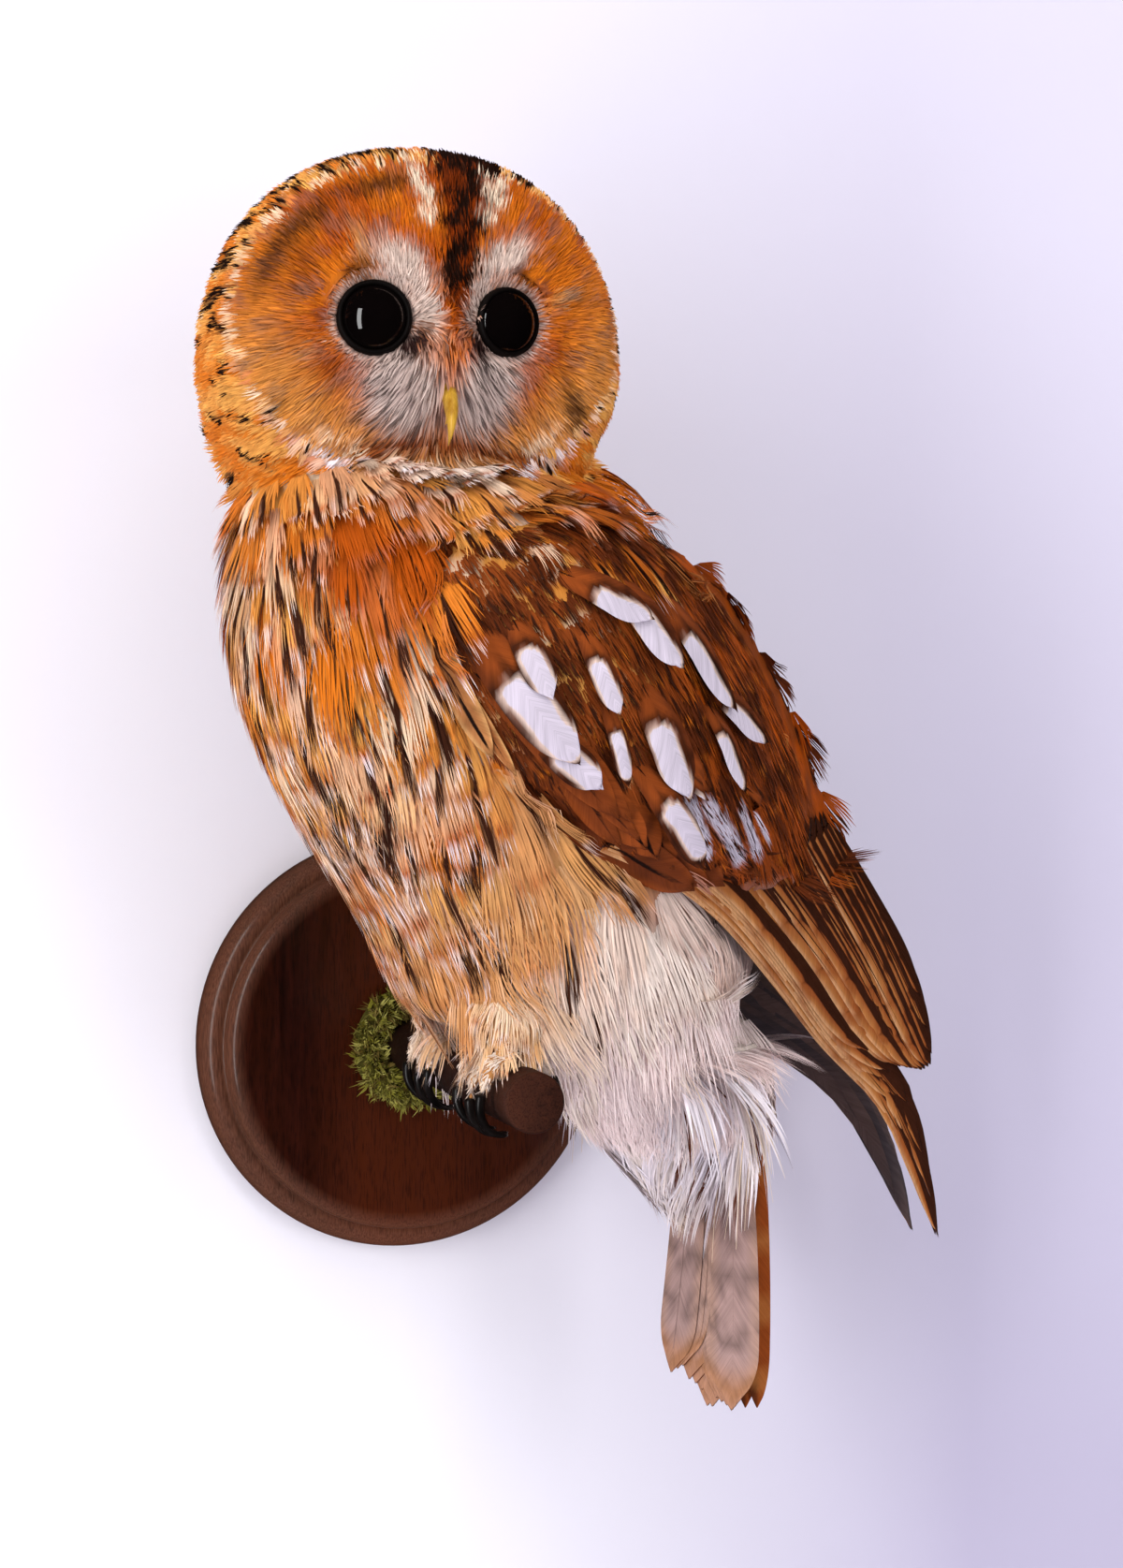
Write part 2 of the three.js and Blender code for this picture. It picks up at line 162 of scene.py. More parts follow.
def turned(axis: str, degrees: float) -> Array:
    """Gives the 3 x 3 matrix of a turn about one axis."""
    return np.array(Matrix.Rotation(math.radians(degrees), 3, axis))


def wave_noise(points: Array, size: float, seed: int) -> Array:
    """Gives a smooth value from about -1 to 1 that varies over the given size.

    Args:
        points: places, in mm.
        size: distance between a light and a dark patch, in mm.
        seed: chooses one of many such patterns.

    Returns:
        One value for each place.
    """
    random = np.random.default_rng(seed)
    total = np.zeros(points.shape[:-1])
    for _ in range(6):
        way = unit(random.normal(size=3)) * (math.pi / size) * random.uniform(0.6, 1.5)
        total += np.sin(points @ way + random.uniform(0.0, 2.0 * math.pi))
    return total / 2.6  # six sines seldom add up to more


# ---- frames of the bird -------------------------------------------------------------------

@dataclass(frozen=True)
class Axes:
    """A turned frame: where its origin is and, as columns, where its axes point."""

    origin: Array
    matrix: Array

    def outward(self, points: Array) -> Array:
        """Turns points of this frame into its parent's."""
        return points @ self.matrix.T + self.origin

    def inward(self, points: Array) -> Array:
        """Turns points of the parent frame into this one's."""
        return (points - self.origin) @ self.matrix

    def turn_out(self, vectors: Array) -> Array:
        """Turns directions of this frame into its parent's."""
        return vectors @ self.matrix.T

    def turn_in(self, vectors: Array) -> Array:
        """Turns directions of the parent frame into this one's."""
        return vectors @ self.matrix


STANCE_TURN = -70.0  # degrees that the owl's breast is turned from straight out of the wall
ALONG_ROD = 98.0  # distance of the owl's own origin from the wall
HEAD_TURN = -18.0  # degrees that the head is turned against the body, less a right angle
HEAD_TILT = 3.0
HEAD_ROLL = -0.4
HEAD_PLACE = np.array([26.0, 0.0, 198.0])

_forward = np.array([math.sin(math.radians(STANCE_TURN)), -math.cos(math.radians(STANCE_TURN)), 0.0])
_left = np.array([-_forward[1], _forward[0], 0.0])
OWL = Axes(np.array([0.0, -ALONG_ROD, 0.0]), np.column_stack([_forward, _left, (0.0, 0.0, 1.0)]))
ROD_OUT = OWL.turn_in(np.array([0.0, -1.0, 0.0]))  # along the rod, away from the wall
ROD_FRONT = np.cross(ROD_OUT, (0.0, 0.0, 1.0))  # across the rod, on the side of the owl's breast
HEAD = Axes(HEAD_PLACE, turned("Z", HEAD_TURN) @ turned("Y", HEAD_ROLL) @ turned("X", HEAD_TILT))


def to_metres(points: Array) -> Array:
    """Turns points of the owl's frame, in mm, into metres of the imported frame."""
    return OWL.outward(points) * MM


def from_metres(points: Array) -> Array:
    """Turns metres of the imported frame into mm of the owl's frame."""
    return OWL.inward(points / MM)


# ---- materials ----------------------------------------------------------------------------

def feed(tree: bpy.types.NodeTree, node: bpy.types.Node, inputs: dict) -> None:
    """Sets a node up.

    Args:
        tree: the node tree.
        node: the node.
        inputs: the node's properties by name and its inputs by name or number, each with its value or with
            the output socket that feeds it.
    """
    for key, value in inputs.items():
        if isinstance(value, Socket):
            tree.links.new(value, node.inputs[key])
        elif isinstance(key, int) or key in node.inputs:
            node.inputs[key].default_value = value
        else:
            setattr(node, key, value)


def add_node(tree: bpy.types.NodeTree, kind: str, inputs: dict) -> bpy.types.Node:
    """Adds one node of a kind, named without its ShaderNode, and sets it up."""
    node = tree.nodes.new("ShaderNode" + kind)
    feed(tree, node, inputs)
    return node


class Graph:
    """The nodes of one material round its Principled shader."""

    def __init__(self, name: str) -> None:
        """Starts a material with the shader and its output."""
        self.material = bpy.data.materials.new(name)
        self.material.use_nodes = True
        self.tree = self.material.node_tree
        self.tree.nodes.clear()
        self.shader = add_node(self.tree, "BsdfPrincipled", {})
        self.output = add_node(self.tree, "OutputMaterial", {"Surface": self.shader.outputs[0]})

    def add(self, kind: str, inputs: dict, output: int | str = 0) -> Socket:
        """Adds a node and gives one of its outputs."""
        return add_node(self.tree, kind, inputs).outputs[output]

    def place(self) -> Socket:
        """Gives the object's own coordinates, in metres."""
        return self.add("TexCoord", {}, "Object")

    def stretch(self, where: Socket, scale: tuple[float, float, float]) -> Socket:
        """Scales coordinates on each axis."""
        return self.add("Mapping", {"Vector": where, "Scale": scale})

    def noise(self, where: Socket, scale: float, detail: float = 2.0, **more: float) -> Socket:
        """Gives smooth noise over coordinates."""
        return self.add("TexNoise", {"Vector": where, "Scale": scale, "Detail": detail, **more})

    def spread(self, value: Socket, low: float, high: float, start: float = 0.0, end: float = 1.0) -> Socket:
        """Maps a value's range from low to high onto the one from start to end."""
        return self.add("MapRange", {0: value, 1: low, 2: high, 3: start, 4: end})

    def mean(self, share: float, first: Socket, second: Socket) -> Socket:
        """Mixes two values, with the given share of the second."""
        return self.add("Mix", {"data_type": "FLOAT", 0: share, 2: first, 3: second})

    def tint(self, amount: Socket, first: Socket | str, second: Socket | str) -> Socket:
        """Mixes two colours, each given as a hex code or as a socket."""
        ends = [rgba(side) if isinstance(side, str) else side for side in (first, second)]
        return self.add("Mix", {"data_type": "RGBA", 0: amount, 6: ends[0], 7: ends[1]}, 2)

    def bump(self, height: Socket, strength: float, depth: float) -> Socket:
        """Gives the slopes of a relief of some millimetres."""
        return self.add("Bump", {"Height": height, "Strength": strength, "Distance": depth * MM})

    def done(self, inputs: dict) -> Material:
        """Feeds the shader and gives the material."""
        feed(self.tree, self.shader, inputs)
        return self.material


@dataclass(frozen=True)
class FeatherFinish:
    """Keratin feather: a dry, faintly silky surface whose fine barbs break every edge of colour.

    The ground and the mark come from the mesh; the barbs' own grain roughens the border between them,
    so that bars and streaks look combed and not painted.
    """

    name: str = "feather_keratin"
    barb: float = 0.45  # mm between the lines that the barbs draw, drawn coarser than real so they show
    lock: float = 2.2  # mm, locks of barbs that cling together
    ragged: float = 0.55  # how far the barbs break the border of a mark
    grain: float = 0.30  # how much lighter and darker the barbs are
    roughness: float = 0.62
    gloss: float = 0.06
    relief: float = 0.3

    def make(self) -> Material:
        """Builds the node material."""
        graph = Graph(self.name)
        ground = graph.add("Attribute", {"attribute_name": "Ground"})
        mark = add_node(graph.tree, "Attribute", {"attribute_name": "Mark"})
        vane = graph.add("UVMap", {"uv_map": "Vane"})
        barbs = graph.noise(graph.stretch(vane, (10 / self.barb, 1.2, 1)), 1.0, Roughness=0.6)
        locks = graph.noise(graph.stretch(vane, (10 / self.lock, 0.9, 1)), 1.0, 1.0)
        both = graph.mean(0.45, barbs, locks)
        shake = graph.add("Math", {"operation": "MULTIPLY_ADD", 0: both, 1: self.ragged,
                                   2: -0.5 * self.ragged})
        # the barbs raise and lower the mark's strength before it is cut off, which combs its border
        edge = graph.add("Math", {"operation": "ADD", 0: mark.outputs["Alpha"], 1: shake})
        cut = graph.add("MapRange", {"interpolation_type": "SMOOTHSTEP", 0: edge, 1: 0.38, 2: 0.62})
        coat = graph.tint(cut, ground, mark.outputs["Color"])
        light = graph.spread(both, 0.25, 0.75, 1 - self.grain, 1 + self.grain)
        grained = graph.add("VectorMath", {"operation": "SCALE", 0: coat, "Scale": light})
        return graph.done({"Base Color": grained, "Normal": graph.bump(barbs, self.relief, 0.2),
                           "Roughness": self.roughness, "Specular IOR Level": self.gloss})


# ---- objects and shapes -------------------------------------------------------------------

def add_object(name: str, data: bpy.types.ID) -> Object:
    """Puts a new object with its mesh, lamp or camera into the scene."""
    made = bpy.data.objects.new(name, data)
    bpy.context.scene.collection.objects.link(made)
    return made


def from_bmesh(name: str, mesh: BMesh) -> Object:
    """Turns a bmesh into an object of the scene and frees it."""
    data = bpy.data.meshes.new(name)
    mesh.to_mesh(data)
    mesh.free()
    return add_object(name, data)


def joined(parts: Iterable[BMesh]) -> BMesh:
    """Joins shapes into one and frees them."""
    whole = bmesh.new()
    for part in parts:
        data = bpy.data.meshes.new("part")
        part.to_mesh(data)
        part.free()
        whole.from_mesh(data)
        bpy.data.meshes.remove(data)
    return whole


def dress_mesh(mesh: bpy.types.Mesh, corners: Array, ground: Array, mark: Array, vane: Array,
               bake: Array) -> None:
    """Gives a mesh its colours and its maps.

    Args:
        mesh: the mesh.
        corners: the vertex at each corner of its faces.
        ground: each vertex's ground colour.
        mark: the colour of the mark there, with its strength as a fourth number.
        vane: where the vertex lies on its feather, in cm.
        bake: where it lies on the bake map, from 0 to 1.
    """
    for key, values in (("Vane", vane), ("OFBake", bake)):
        mesh.uv_layers.new(name=key).uv.foreach_set("vector", values[corners].ravel().astype(np.float32))
    whole = np.concatenate([ground, np.ones((len(ground), 1))], 1)
    for key, values in (("Ground", whole), ("Mark", mark)):
        layer = mesh.color_attributes.new(name=key, type="FLOAT_COLOR", domain="POINT")
        layer.data.foreach_set("color", values.ravel().astype(np.float32))


def unmarked(ground: Array) -> tuple[Array, Array]:
    """Gives a ground with no mark on it."""
    return ground, np.concatenate([ground, np.zeros(ground.shape[:-1] + (1,))], -1)


# ---- the skin -----------------------------------------------------------------------------

class Region(IntEnum):
    """The named parts of the bird's body that carry feathers."""

    HEAD = 0
    NECK = 1
    TRUNK = 2
    VENT = 3
    LEG = 4
    FOOT = 5
    WING = 6


FLESH = {
    "head": Region.HEAD, "neck": Region.NECK, "trunk": Region.TRUNK, "vent_coverts": Region.VENT,
    "leg_left": Region.LEG, "leg_right": Region.LEG, "foot_left": Region.FOOT, "foot_right": Region.FOOT,
    "wing_left_coverts": Region.WING, "wing_right_coverts": Region.WING,
}

EYE_ABOVE = 5.2  # the eyeballs' centres in the head's frame
EYE_APART = 33.8
EYE_FORWARD = 27.0
EYE_RADIUS = 10.6
EYE_SPLAY = 12.0  # degrees that each eye looks outwards
EYE_OPEN = {1: 1.0, -1: 0.93}  # how far the lids are open, by side
LID_EDGE = 8.6  # how far from the middle of an open eye the lid's inner edge lies


def eye_frame(side: int) -> Axes:
    """Gives the frame of one eye in the head's frame: +Y out of the pupil; side is 1 on the owl's right."""
    place = np.array([side * EYE_APART / 2, EYE_FORWARD, EYE_ABOVE])
    return Axes(place, turned("Z", -side * EYE_SPLAY))


def seen_by_eyes(local: Array) -> list[tuple[int, Array]]:
    """Gives places of the head's frame in each eye's own frame, after the eye's side."""
    return [(side, eye_frame(side).inward(local)) for side in (-1, 1)]


@dataclass
class Skin:
    """One closed skin through every fleshy solid, which lies inside them by the depth of the coat."""

    voxel: float = 1.7
    swell: float = 0.5  # grown before the solids are fused, so that neighbours meet
    smoothing: int = 26
    foot_smoothing: float = 0.12
    lid_height: float = 5.2  # how far forward of an eyeball's centre the skin meets it
    lid_radius: float = 9.2
    socket_slope: float = 0.36
    socket_reach: float = 19.0
    socket_firm: float = 11.0  # within this radius the cup also lifts skin that lies too deep
    socket_back: float = -10.0  # skin further behind an eyeball's centre is left alone
    coat: tuple[float, ...] = (3.0, 4.0, 4.5, 7.0, 2.2, 0.5, 2.2)  # its depth over each region
    face_thinner: float = 1.3  # how much less of it covers the face
    points: Array = field(init=False)
    normals: Array = field(init=False)
    faces: Array = field(init=False)
    region: Array = field(init=False)
    tree: BVHTree = field(init=False)
    solids: Optional[BVHTree] = field(init=False, default=None)
    owners: Array = field(init=False)

    def depth(self, points: Array, region: Array) -> Array:
        """Gives the thickness of the coat over each place.

        Args:
            points: places in the owl's frame.
            region: the number of each place's region.

        Returns:
            Millimetres of coat.
        """
        face = ramp(4.0, 18.0, HEAD.inward(points)[:, 1])
        depth = np.array(self.coat)[region]
        return np.where(region == Region.HEAD, depth - self.face_thinner * face, depth) + self.swell

    def swollen(self, name: str) -> BMesh:
        """Gives a slightly swollen copy of one solid."""
        solid = bmesh.new()
        solid.from_mesh(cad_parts[name].data)
        bmesh.ops.remove_doubles(solid, verts=solid.verts, dist=1e-5)
        bmesh.ops.recalc_face_normals(solid, faces=solid.faces)
        solid.normal_update()
        for vertex in solid.verts:
            vertex.co += vertex.normal * self.swell * MM
        return solid

    def fuse(self) -> Object:
        """Joins swollen copies of the solids and turns them into one even surface."""
        skin = from_bmesh("skin", joined(self.swollen(name) for name in FLESH))
        remesh = skin.modifiers.new("fuse", "REMESH")
        remesh.mode = "VOXEL"
        remesh.voxel_size = self.voxel * MM
        remesh.use_smooth_shade = True
        apply_modifiers(skin)
        return skin

    def build(self) -> Object:
        """Builds the skin and keeps its surface for the feathers to stand on."""
        skin = self.fuse()
        soft = skin.vertex_groups.new(name="soft")
        self.read(skin)
        feet = np.flatnonzero(self.region == Region.FOOT).tolist()
        soft.add(list(range(len(self.points))), 1.0, "REPLACE")
        soft.add(feet, self.foot_smoothing, "REPLACE")
        relax = skin.modifiers.new("relax", "SMOOTH")
        relax.factor = 0.5
        relax.iterations = self.smoothing
        relax.vertex_group = "soft"
        apply_modifiers(skin)
        self.read(skin)
        sunk = self.points - self.normals * self.depth(self.points, self.region)[:, None]
        self.write(skin, self.open_sockets(sunk))
        self.read(skin)
        return skin

    def open_sockets(self, points: Array) -> Array:
        """Shapes the skin into a shallow cup round each eye, which also closes on the eyeball.

        Args:
            points: the skin's vertices in the owl's frame.

        Returns:
            The moved vertices.
        """
        local = HEAD.inward(points)
        for side in (-1, 1):
            eye = eye_frame(side)
            seen = eye.inward(local)
            radius = np.hypot(seen[:, 0], seen[:, 2])
            limit = self.lid_height + self.socket_slope * np.maximum(0.0, radius - self.lid_radius)
            inside = (radius < self.socket_reach) & (seen[:, 1] > self.socket_back)
            lifted = ramp(self.socket_reach, self.socket_firm, radius)
            seen[:, 1] += (limit - seen[:, 1]) * np.where(seen[:, 1] > limit, 1.0, lifted) * inside
            local = eye.outward(seen)
        return HEAD.outward(local)

    def write(self, skin: Object, points: Array) -> None:
        """Moves the skin's vertices to points of the owl's frame."""
        skin.data.vertices.foreach_set("co", to_metres(points).ravel())
        skin.data.update()

    def read(self, skin: Object) -> None:
        """Keeps the skin's points, normals, faces, regions and a search tree of it."""
        mesh = skin.data
        count = len(mesh.vertices)
        flat = np.empty(count * 3)
        mesh.vertices.foreach_get("co", flat)
        self.points = from_metres(flat.reshape(-1, 3))
        mesh.vertex_normals.foreach_get("vector", flat)
        self.normals = OWL.turn_in(flat.reshape(-1, 3))
        self.faces = np.array([face.vertices[:4] for face in mesh.polygons if len(face.vertices) == 4])
        self.tree = BVHTree.FromPolygons(self.points.tolist(), self.faces.tolist())
        self.region = self.regions_of(self.points)

    def regions_of(self, points: Array) -> Array:
        """Gives the number of the region whose solid is nearest to each place."""
        if self.solids is None:
            self.solids, self.owners = self.solid_tree()
        found = [self.solids.find_nearest(Vector(p))[2] for p in points]
        return self.owners[np.array(found)]

    def solid_tree(self) -> tuple[BVHTree, Array]:
        """Builds a search tree over the solids with the region of each of its triangles."""
        vertices, triangles, owners = [], [], []
        for name, region in FLESH.items():
            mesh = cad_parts[name].data
            flat = np.empty(len(mesh.vertices) * 3)
            mesh.vertices.foreach_get("co", flat)
            start = len(vertices)
            vertices.extend(from_metres(flat.reshape(-1, 3)).tolist())
            triangles.extend([[start + i for i in face.vertices] for face in mesh.polygons])
            owners.extend([region.value] * len(mesh.polygons))
        return BVHTree.FromPolygons(vertices, triangles), np.array(owners)

    def beside(self, view: Array, side: int) -> Array:
        """Gives the outermost places of one side of the skin at x and z of the side view."""
        aim = np.column_stack([view[:, 0], np.full(len(view), 100.0 * side), view[:, 1]])
        found = [self.tree.ray_cast(Vector(p), Vector((0.0, -side, 0.0)))[0] for p in aim]
        rest, _ = self.nearest(aim * (1.0, 0.55, 1.0))
        return np.array([hit or Vector(spare) for hit, spare in zip(found, rest)])

    def nearest(self, points: Array) -> tuple[Array, Array]:
        """Gives the nearest place on the skin and its normal for each point."""
        found = [self.tree.find_nearest(Vector(p))[:2] for p in points]
        place = np.array([f[0] for f in found])
        normal = np.array([f[1] for f in found])
        return place, normal


def apply_modifiers(piece: Object) -> None:
    """Replaces a piece's mesh by what its modifiers make of it."""
    graph = bpy.context.evaluated_depsgraph_get()
    graph.update()
    made = bpy.data.meshes.new_from_object(piece.evaluated_get(graph))
    old = piece.data
    piece.modifiers.clear()
    piece.data = made
    bpy.data.meshes.remove(old)


# ---- feathers as meshes -------------------------------------------------------------------

@dataclass
class Quills:
    """The roots of many feathers: place, skin normal, way they point, length and half width."""

    root: Array
    normal: Array
    way: Array
    length: Array
    half: Array
    puff: Optional[Array] = None  # extra height of each feather's tip

    @property
    def count(self) -> int:
        """Says how many feathers there are."""
        return len(self.root)


@dataclass
class Spines:
    """The middle lines of many feathers as they lie over the body, level by level."""

    places: Array
    normals: Array
    across: Array

    def at(self, t: Array) -> tuple[Array, Array, Array]:
        """Gives place, normal and sideways direction at fractions of each feather's length.

        Args:
            t: fractions with one row for each feather.

        Returns:
            Three arrays of vectors in the shape of t.
        """
        levels = self.places.shape[1]
        x = np.clip(t, 0.0, 1.0) * (levels - 1)
        low = np.minimum(x.astype(int), levels - 2)
        part = (x - low)[..., None]
        row = np.arange(len(t)).reshape((-1,) + (1,) * (t.ndim - 1))

        def between(values: Array) -> Array:
            """Mixes the two levels next to t."""
            return values[row, low] * (1 - part) + values[row, low + 1] * part

        return between(self.places), unit(between(self.normals)), unit(between(self.across))


def lay(skin: Skin, quills: Quills, levels: int, cling: float = 1.0,
        fall: Optional[tuple[float, float, float]] = None) -> Spines:
    """Lets each feather's middle line follow the body from its root.

    Args:
        skin: the surface.
        quills: the feathers.
        levels: how many places each line has.
        cling: how closely a line keeps to the skin, from 0 to 1.
        fall: a direction that the lines bend towards, such as straight down.

    Returns:
        The middle lines.
    """
    step = (quills.length / (levels - 1))[:, None]
    place = quills.root.copy()
    way = quills.way.copy()
    normal = quills.normal.copy()
    places, normals, ways = [place], [normal], [way]
    for _ in range(levels - 1):
        if fall is not None:
            way = unit(way + fall)
        ahead = place + way * step
        ground, facing = skin.nearest(ahead)
        gap = np.linalg.norm(ahead - ground, axis=1)
        turn = (normal * facing).sum(1)
        hold = (cling * (1.0 - ramp(0.35, 0.9, gap / step[:, 0])) * ramp(0.45, 0.8, turn))[:, None]
        place = ahead * (1 - hold) + ground * hold
        normal = unit(normal * (1 - hold) + facing * hold)
        way = unit(way - (way * normal).sum(1, keepdims=True) * normal * hold)
        places.append(place)
        normals.append(normal)
        ways.append(way)
    along = unit(np.stack(ways, 1))
    facing = unit(np.stack(normals, 1))
    across = unit(np.cross(along, facing))
    return Spines(np.stack(places, 1), unit(np.cross(across, along)), across)


def drape(skin: Skin, roots: Array, tips: Array, levels: int, lift: float | Array) -> tuple[Quills, Spines]:
    """Lays straight lines from roots to tips over the body.

    Args:
        skin: the surface.
        roots: where the feathers start, near the skin.
        tips: where they end.
        levels: how many places each line has.
        lift: height over the skin in mm, which the roots don't have yet.

    Returns:
        The feathers, without their widths, and their middle lines.
    """
    s = np.linspace(0, 1, levels)[None, :, None]
    line = roots[:, None] * (1 - s) + tips[:, None] * s
    ground, facing = skin.nearest(line.reshape(-1, 3))
    ground, facing = ground.reshape(line.shape), facing.reshape(line.shape)
    for _ in range(2):
        facing[:, 1:-1] = unit(facing[:, :-2] + facing[:, 1:-1] + facing[:, 2:])
    place = 0.8 * ground + 0.2 * line + facing * lift * (0.1 + 0.9 * np.minimum(1, 2.2 * s))
    along = unit(np.gradient(place, axis=1))
    across = unit(np.cross(along, facing))
    length = np.linalg.norm(np.diff(place, axis=1), axis=2).sum(1)
    quills = Quills(place[:, 0], facing[:, 0], along[:, 0], length, np.ones(len(roots)))
    return quills, Spines(place, unit(np.cross(across, along)), across)


def per_feather(a: Array) -> tuple:
    """Gives the index that stretches one value a feather over places in the shape of a."""
    return (slice(None),) + (None,) * (a.ndim - 1)


@dataclass
class Plan:
    """The pattern of feathers: a value or colour for each of them, or a number or tint for all."""

    ground: Array
    edge: Array | Tint
    pale: Array | Tint
    dark: Array | Tint
    bar: Array | Tint
    pale_amount: Array | float = 0.0
    streak: Array | float = 0.0  # half width of the dark shaft streak as a part of the feather's
    bars: Array | float = 0.0  # strength of the cross bars
    tip: Array | float = 0.0  # strength of a dark tip

    def __post_init__(self) -> None:
        """Repeats the numbers and tints for each feather."""
        for name, value in list(vars(self).items()):
            if isinstance(value, Tint):
                setattr(self, name, np.tile(value.rgb, (len(self.ground), 1)))
            elif isinstance(value, float):
                setattr(self, name, np.full(len(self.ground), value))

    def paint(self, a: Array, t: Array, points: Array, phase: Array) -> tuple[Array, Array]:
        """Colours places on the feathers, as every brush does.

        Args:
            a: places across, from -1 to 1, one row for each feather.
            t: places along, from 0 at the root to 1.
            points: the same places in the owl's frame; not used here.
            phase: one number for each feather that shifts its pattern a little.

        Returns:
            The ground colour, and the mark's colour with its strength as a fourth number.
        """
        grow = per_feather(a)
        side = np.abs(a + 0.12 * np.sin(5 * t + phase[grow]))
        ground = blend(self.ground[grow], self.edge[grow],
                       0.75 * ramp(0.45, 1.0, side) + 0.25 * ramp(0.6, 1.0, t))
        block = ramp(0.72, 0.78, t) * ramp(0.97, 0.91, t) * ramp(0.98, 0.8, side) * ramp(0.02, 0.16, side)
        ground = blend(ground, self.pale[grow], block * self.pale_amount[grow])
        width = self.streak[grow] * (0.55 + 0.6 * ramp(0.3, 0.75, t)) * (1.15 - ramp(0.8, 1.05, t))
        line = np.clip(0.9 - 0.45 * side / np.maximum(width, 1e-3), 0, 1) * ramp(0.12, 0.35, t)
        line = np.where(self.streak[grow] > 0.01, line, 0.0)
        bar = np.maximum(bump_at(t + 0.03 * np.sin(3 * a + phase[grow]), 0.68, 0.05), ramp(0.9, 0.96, t))
        ground = blend(ground, self.bar[grow], self.bars[grow] * bar)
        end = self.tip[grow] * ramp(0.72, 0.95, t + 0.1 * side)
        mark = np.maximum(line, end)
        colour = np.broadcast_to(self.dark[grow], ground.shape)
        return ground, np.concatenate([colour, mark[..., None]], -1)


class Weave:
    """Collects the meshes of one tract's feathers and writes them as one piece."""

    def __init__(self) -> None:
        """Starts empty."""
        self.parts: list[tuple[Array, ...]] = []
        self.total = 0

    def add(self, points: Array, quads: Array, ground: Array, mark: Array, vane: Array, bake: Array) -> None:
        """Adds vertices with their colours and maps, and faces of four, counted from the first of them."""
        self.parts.append((points.reshape(-1, 3), quads.reshape(-1, 4) + self.total, ground.reshape(-1, 3),
                           mark.reshape(-1, 4), vane.reshape(-1, 2), bake.reshape(-1, 2)))
        self.total += points.reshape(-1, 3).shape[0]

    def write(self, name: str, material: Material, slot: str) -> Object:
        """Writes the joined mesh.

        Args:
            name: the piece's name.
            material: its material.
            slot: the record's material slot; not used.

        Returns:
            The piece.
        """
        points, quads, ground, mark, vane, bake = (np.concatenate(column) for column in zip(*self.parts))
        pinched = quads[:, 2] == quads[:, 3]
        corners = np.concatenate([quads[~pinched].ravel(), quads[pinched, :3].ravel()])
        sizes = np.concatenate([np.full((~pinched).sum(), 4), np.full(pinched.sum(), 3)])
        used, corners = np.unique(corners, return_inverse=True)
        points, ground, mark, vane, bake = (values[used] for values in (points, ground, mark, vane, bake))
        mesh = bpy.data.meshes.new(name)
        mesh.vertices.add(len(points))
        mesh.vertices.foreach_set("co", to_metres(points).ravel())
        mesh.loops.add(len(corners))
        mesh.loops.foreach_set("vertex_index", corners.astype(np.int32))
        mesh.polygons.add(len(sizes))
        mesh.polygons.foreach_set("loop_start", np.concatenate([[0], np.cumsum(sizes)[:-1]]).astype(np.int32))
        mesh.update(calc_edges=True)
        dress_mesh(mesh, corners, ground, mark, vane, bake)
        mesh.polygons.foreach_set("use_smooth", np.ones(len(sizes), bool))
        mesh.materials.append(material)
        piece = add_object(name, mesh)
        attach(piece, BODY)
        LOG.info("%s: %d triangles", name, int((sizes - 2).sum()))
        return piece


def unwrap(points: Array) -> Array:
    """Gives the place of each root on a round unwrap of the body: its bearing and its height.

    Args:
        points: roots in the owl's frame.

    Returns:
        Two numbers from 0 to 1 for each root.
    """
    middle = np.interp(points[:, 2], [-110, -40, 60, 110, 200], [-85, -75, -35, 0, 24])
    bearing = np.arctan2(points[:, 1], points[:, 0] - middle) / (2 * math.pi) + 0.5
    height = (points[:, 2] - MAP_LOWEST) / MAP_TALL
    return np.column_stack([0.01 + 0.97 * bearing, np.clip(0.01 + 0.97 * height, 0.0, 0.99)])


MAP_LOWEST = -115.0  # height in mm at the lower edge of the bake map
MAP_TALL = 375.0  # mm that the map covers upwards
TUFT_PATCH = 0.003  # size of one tuft's patch on it


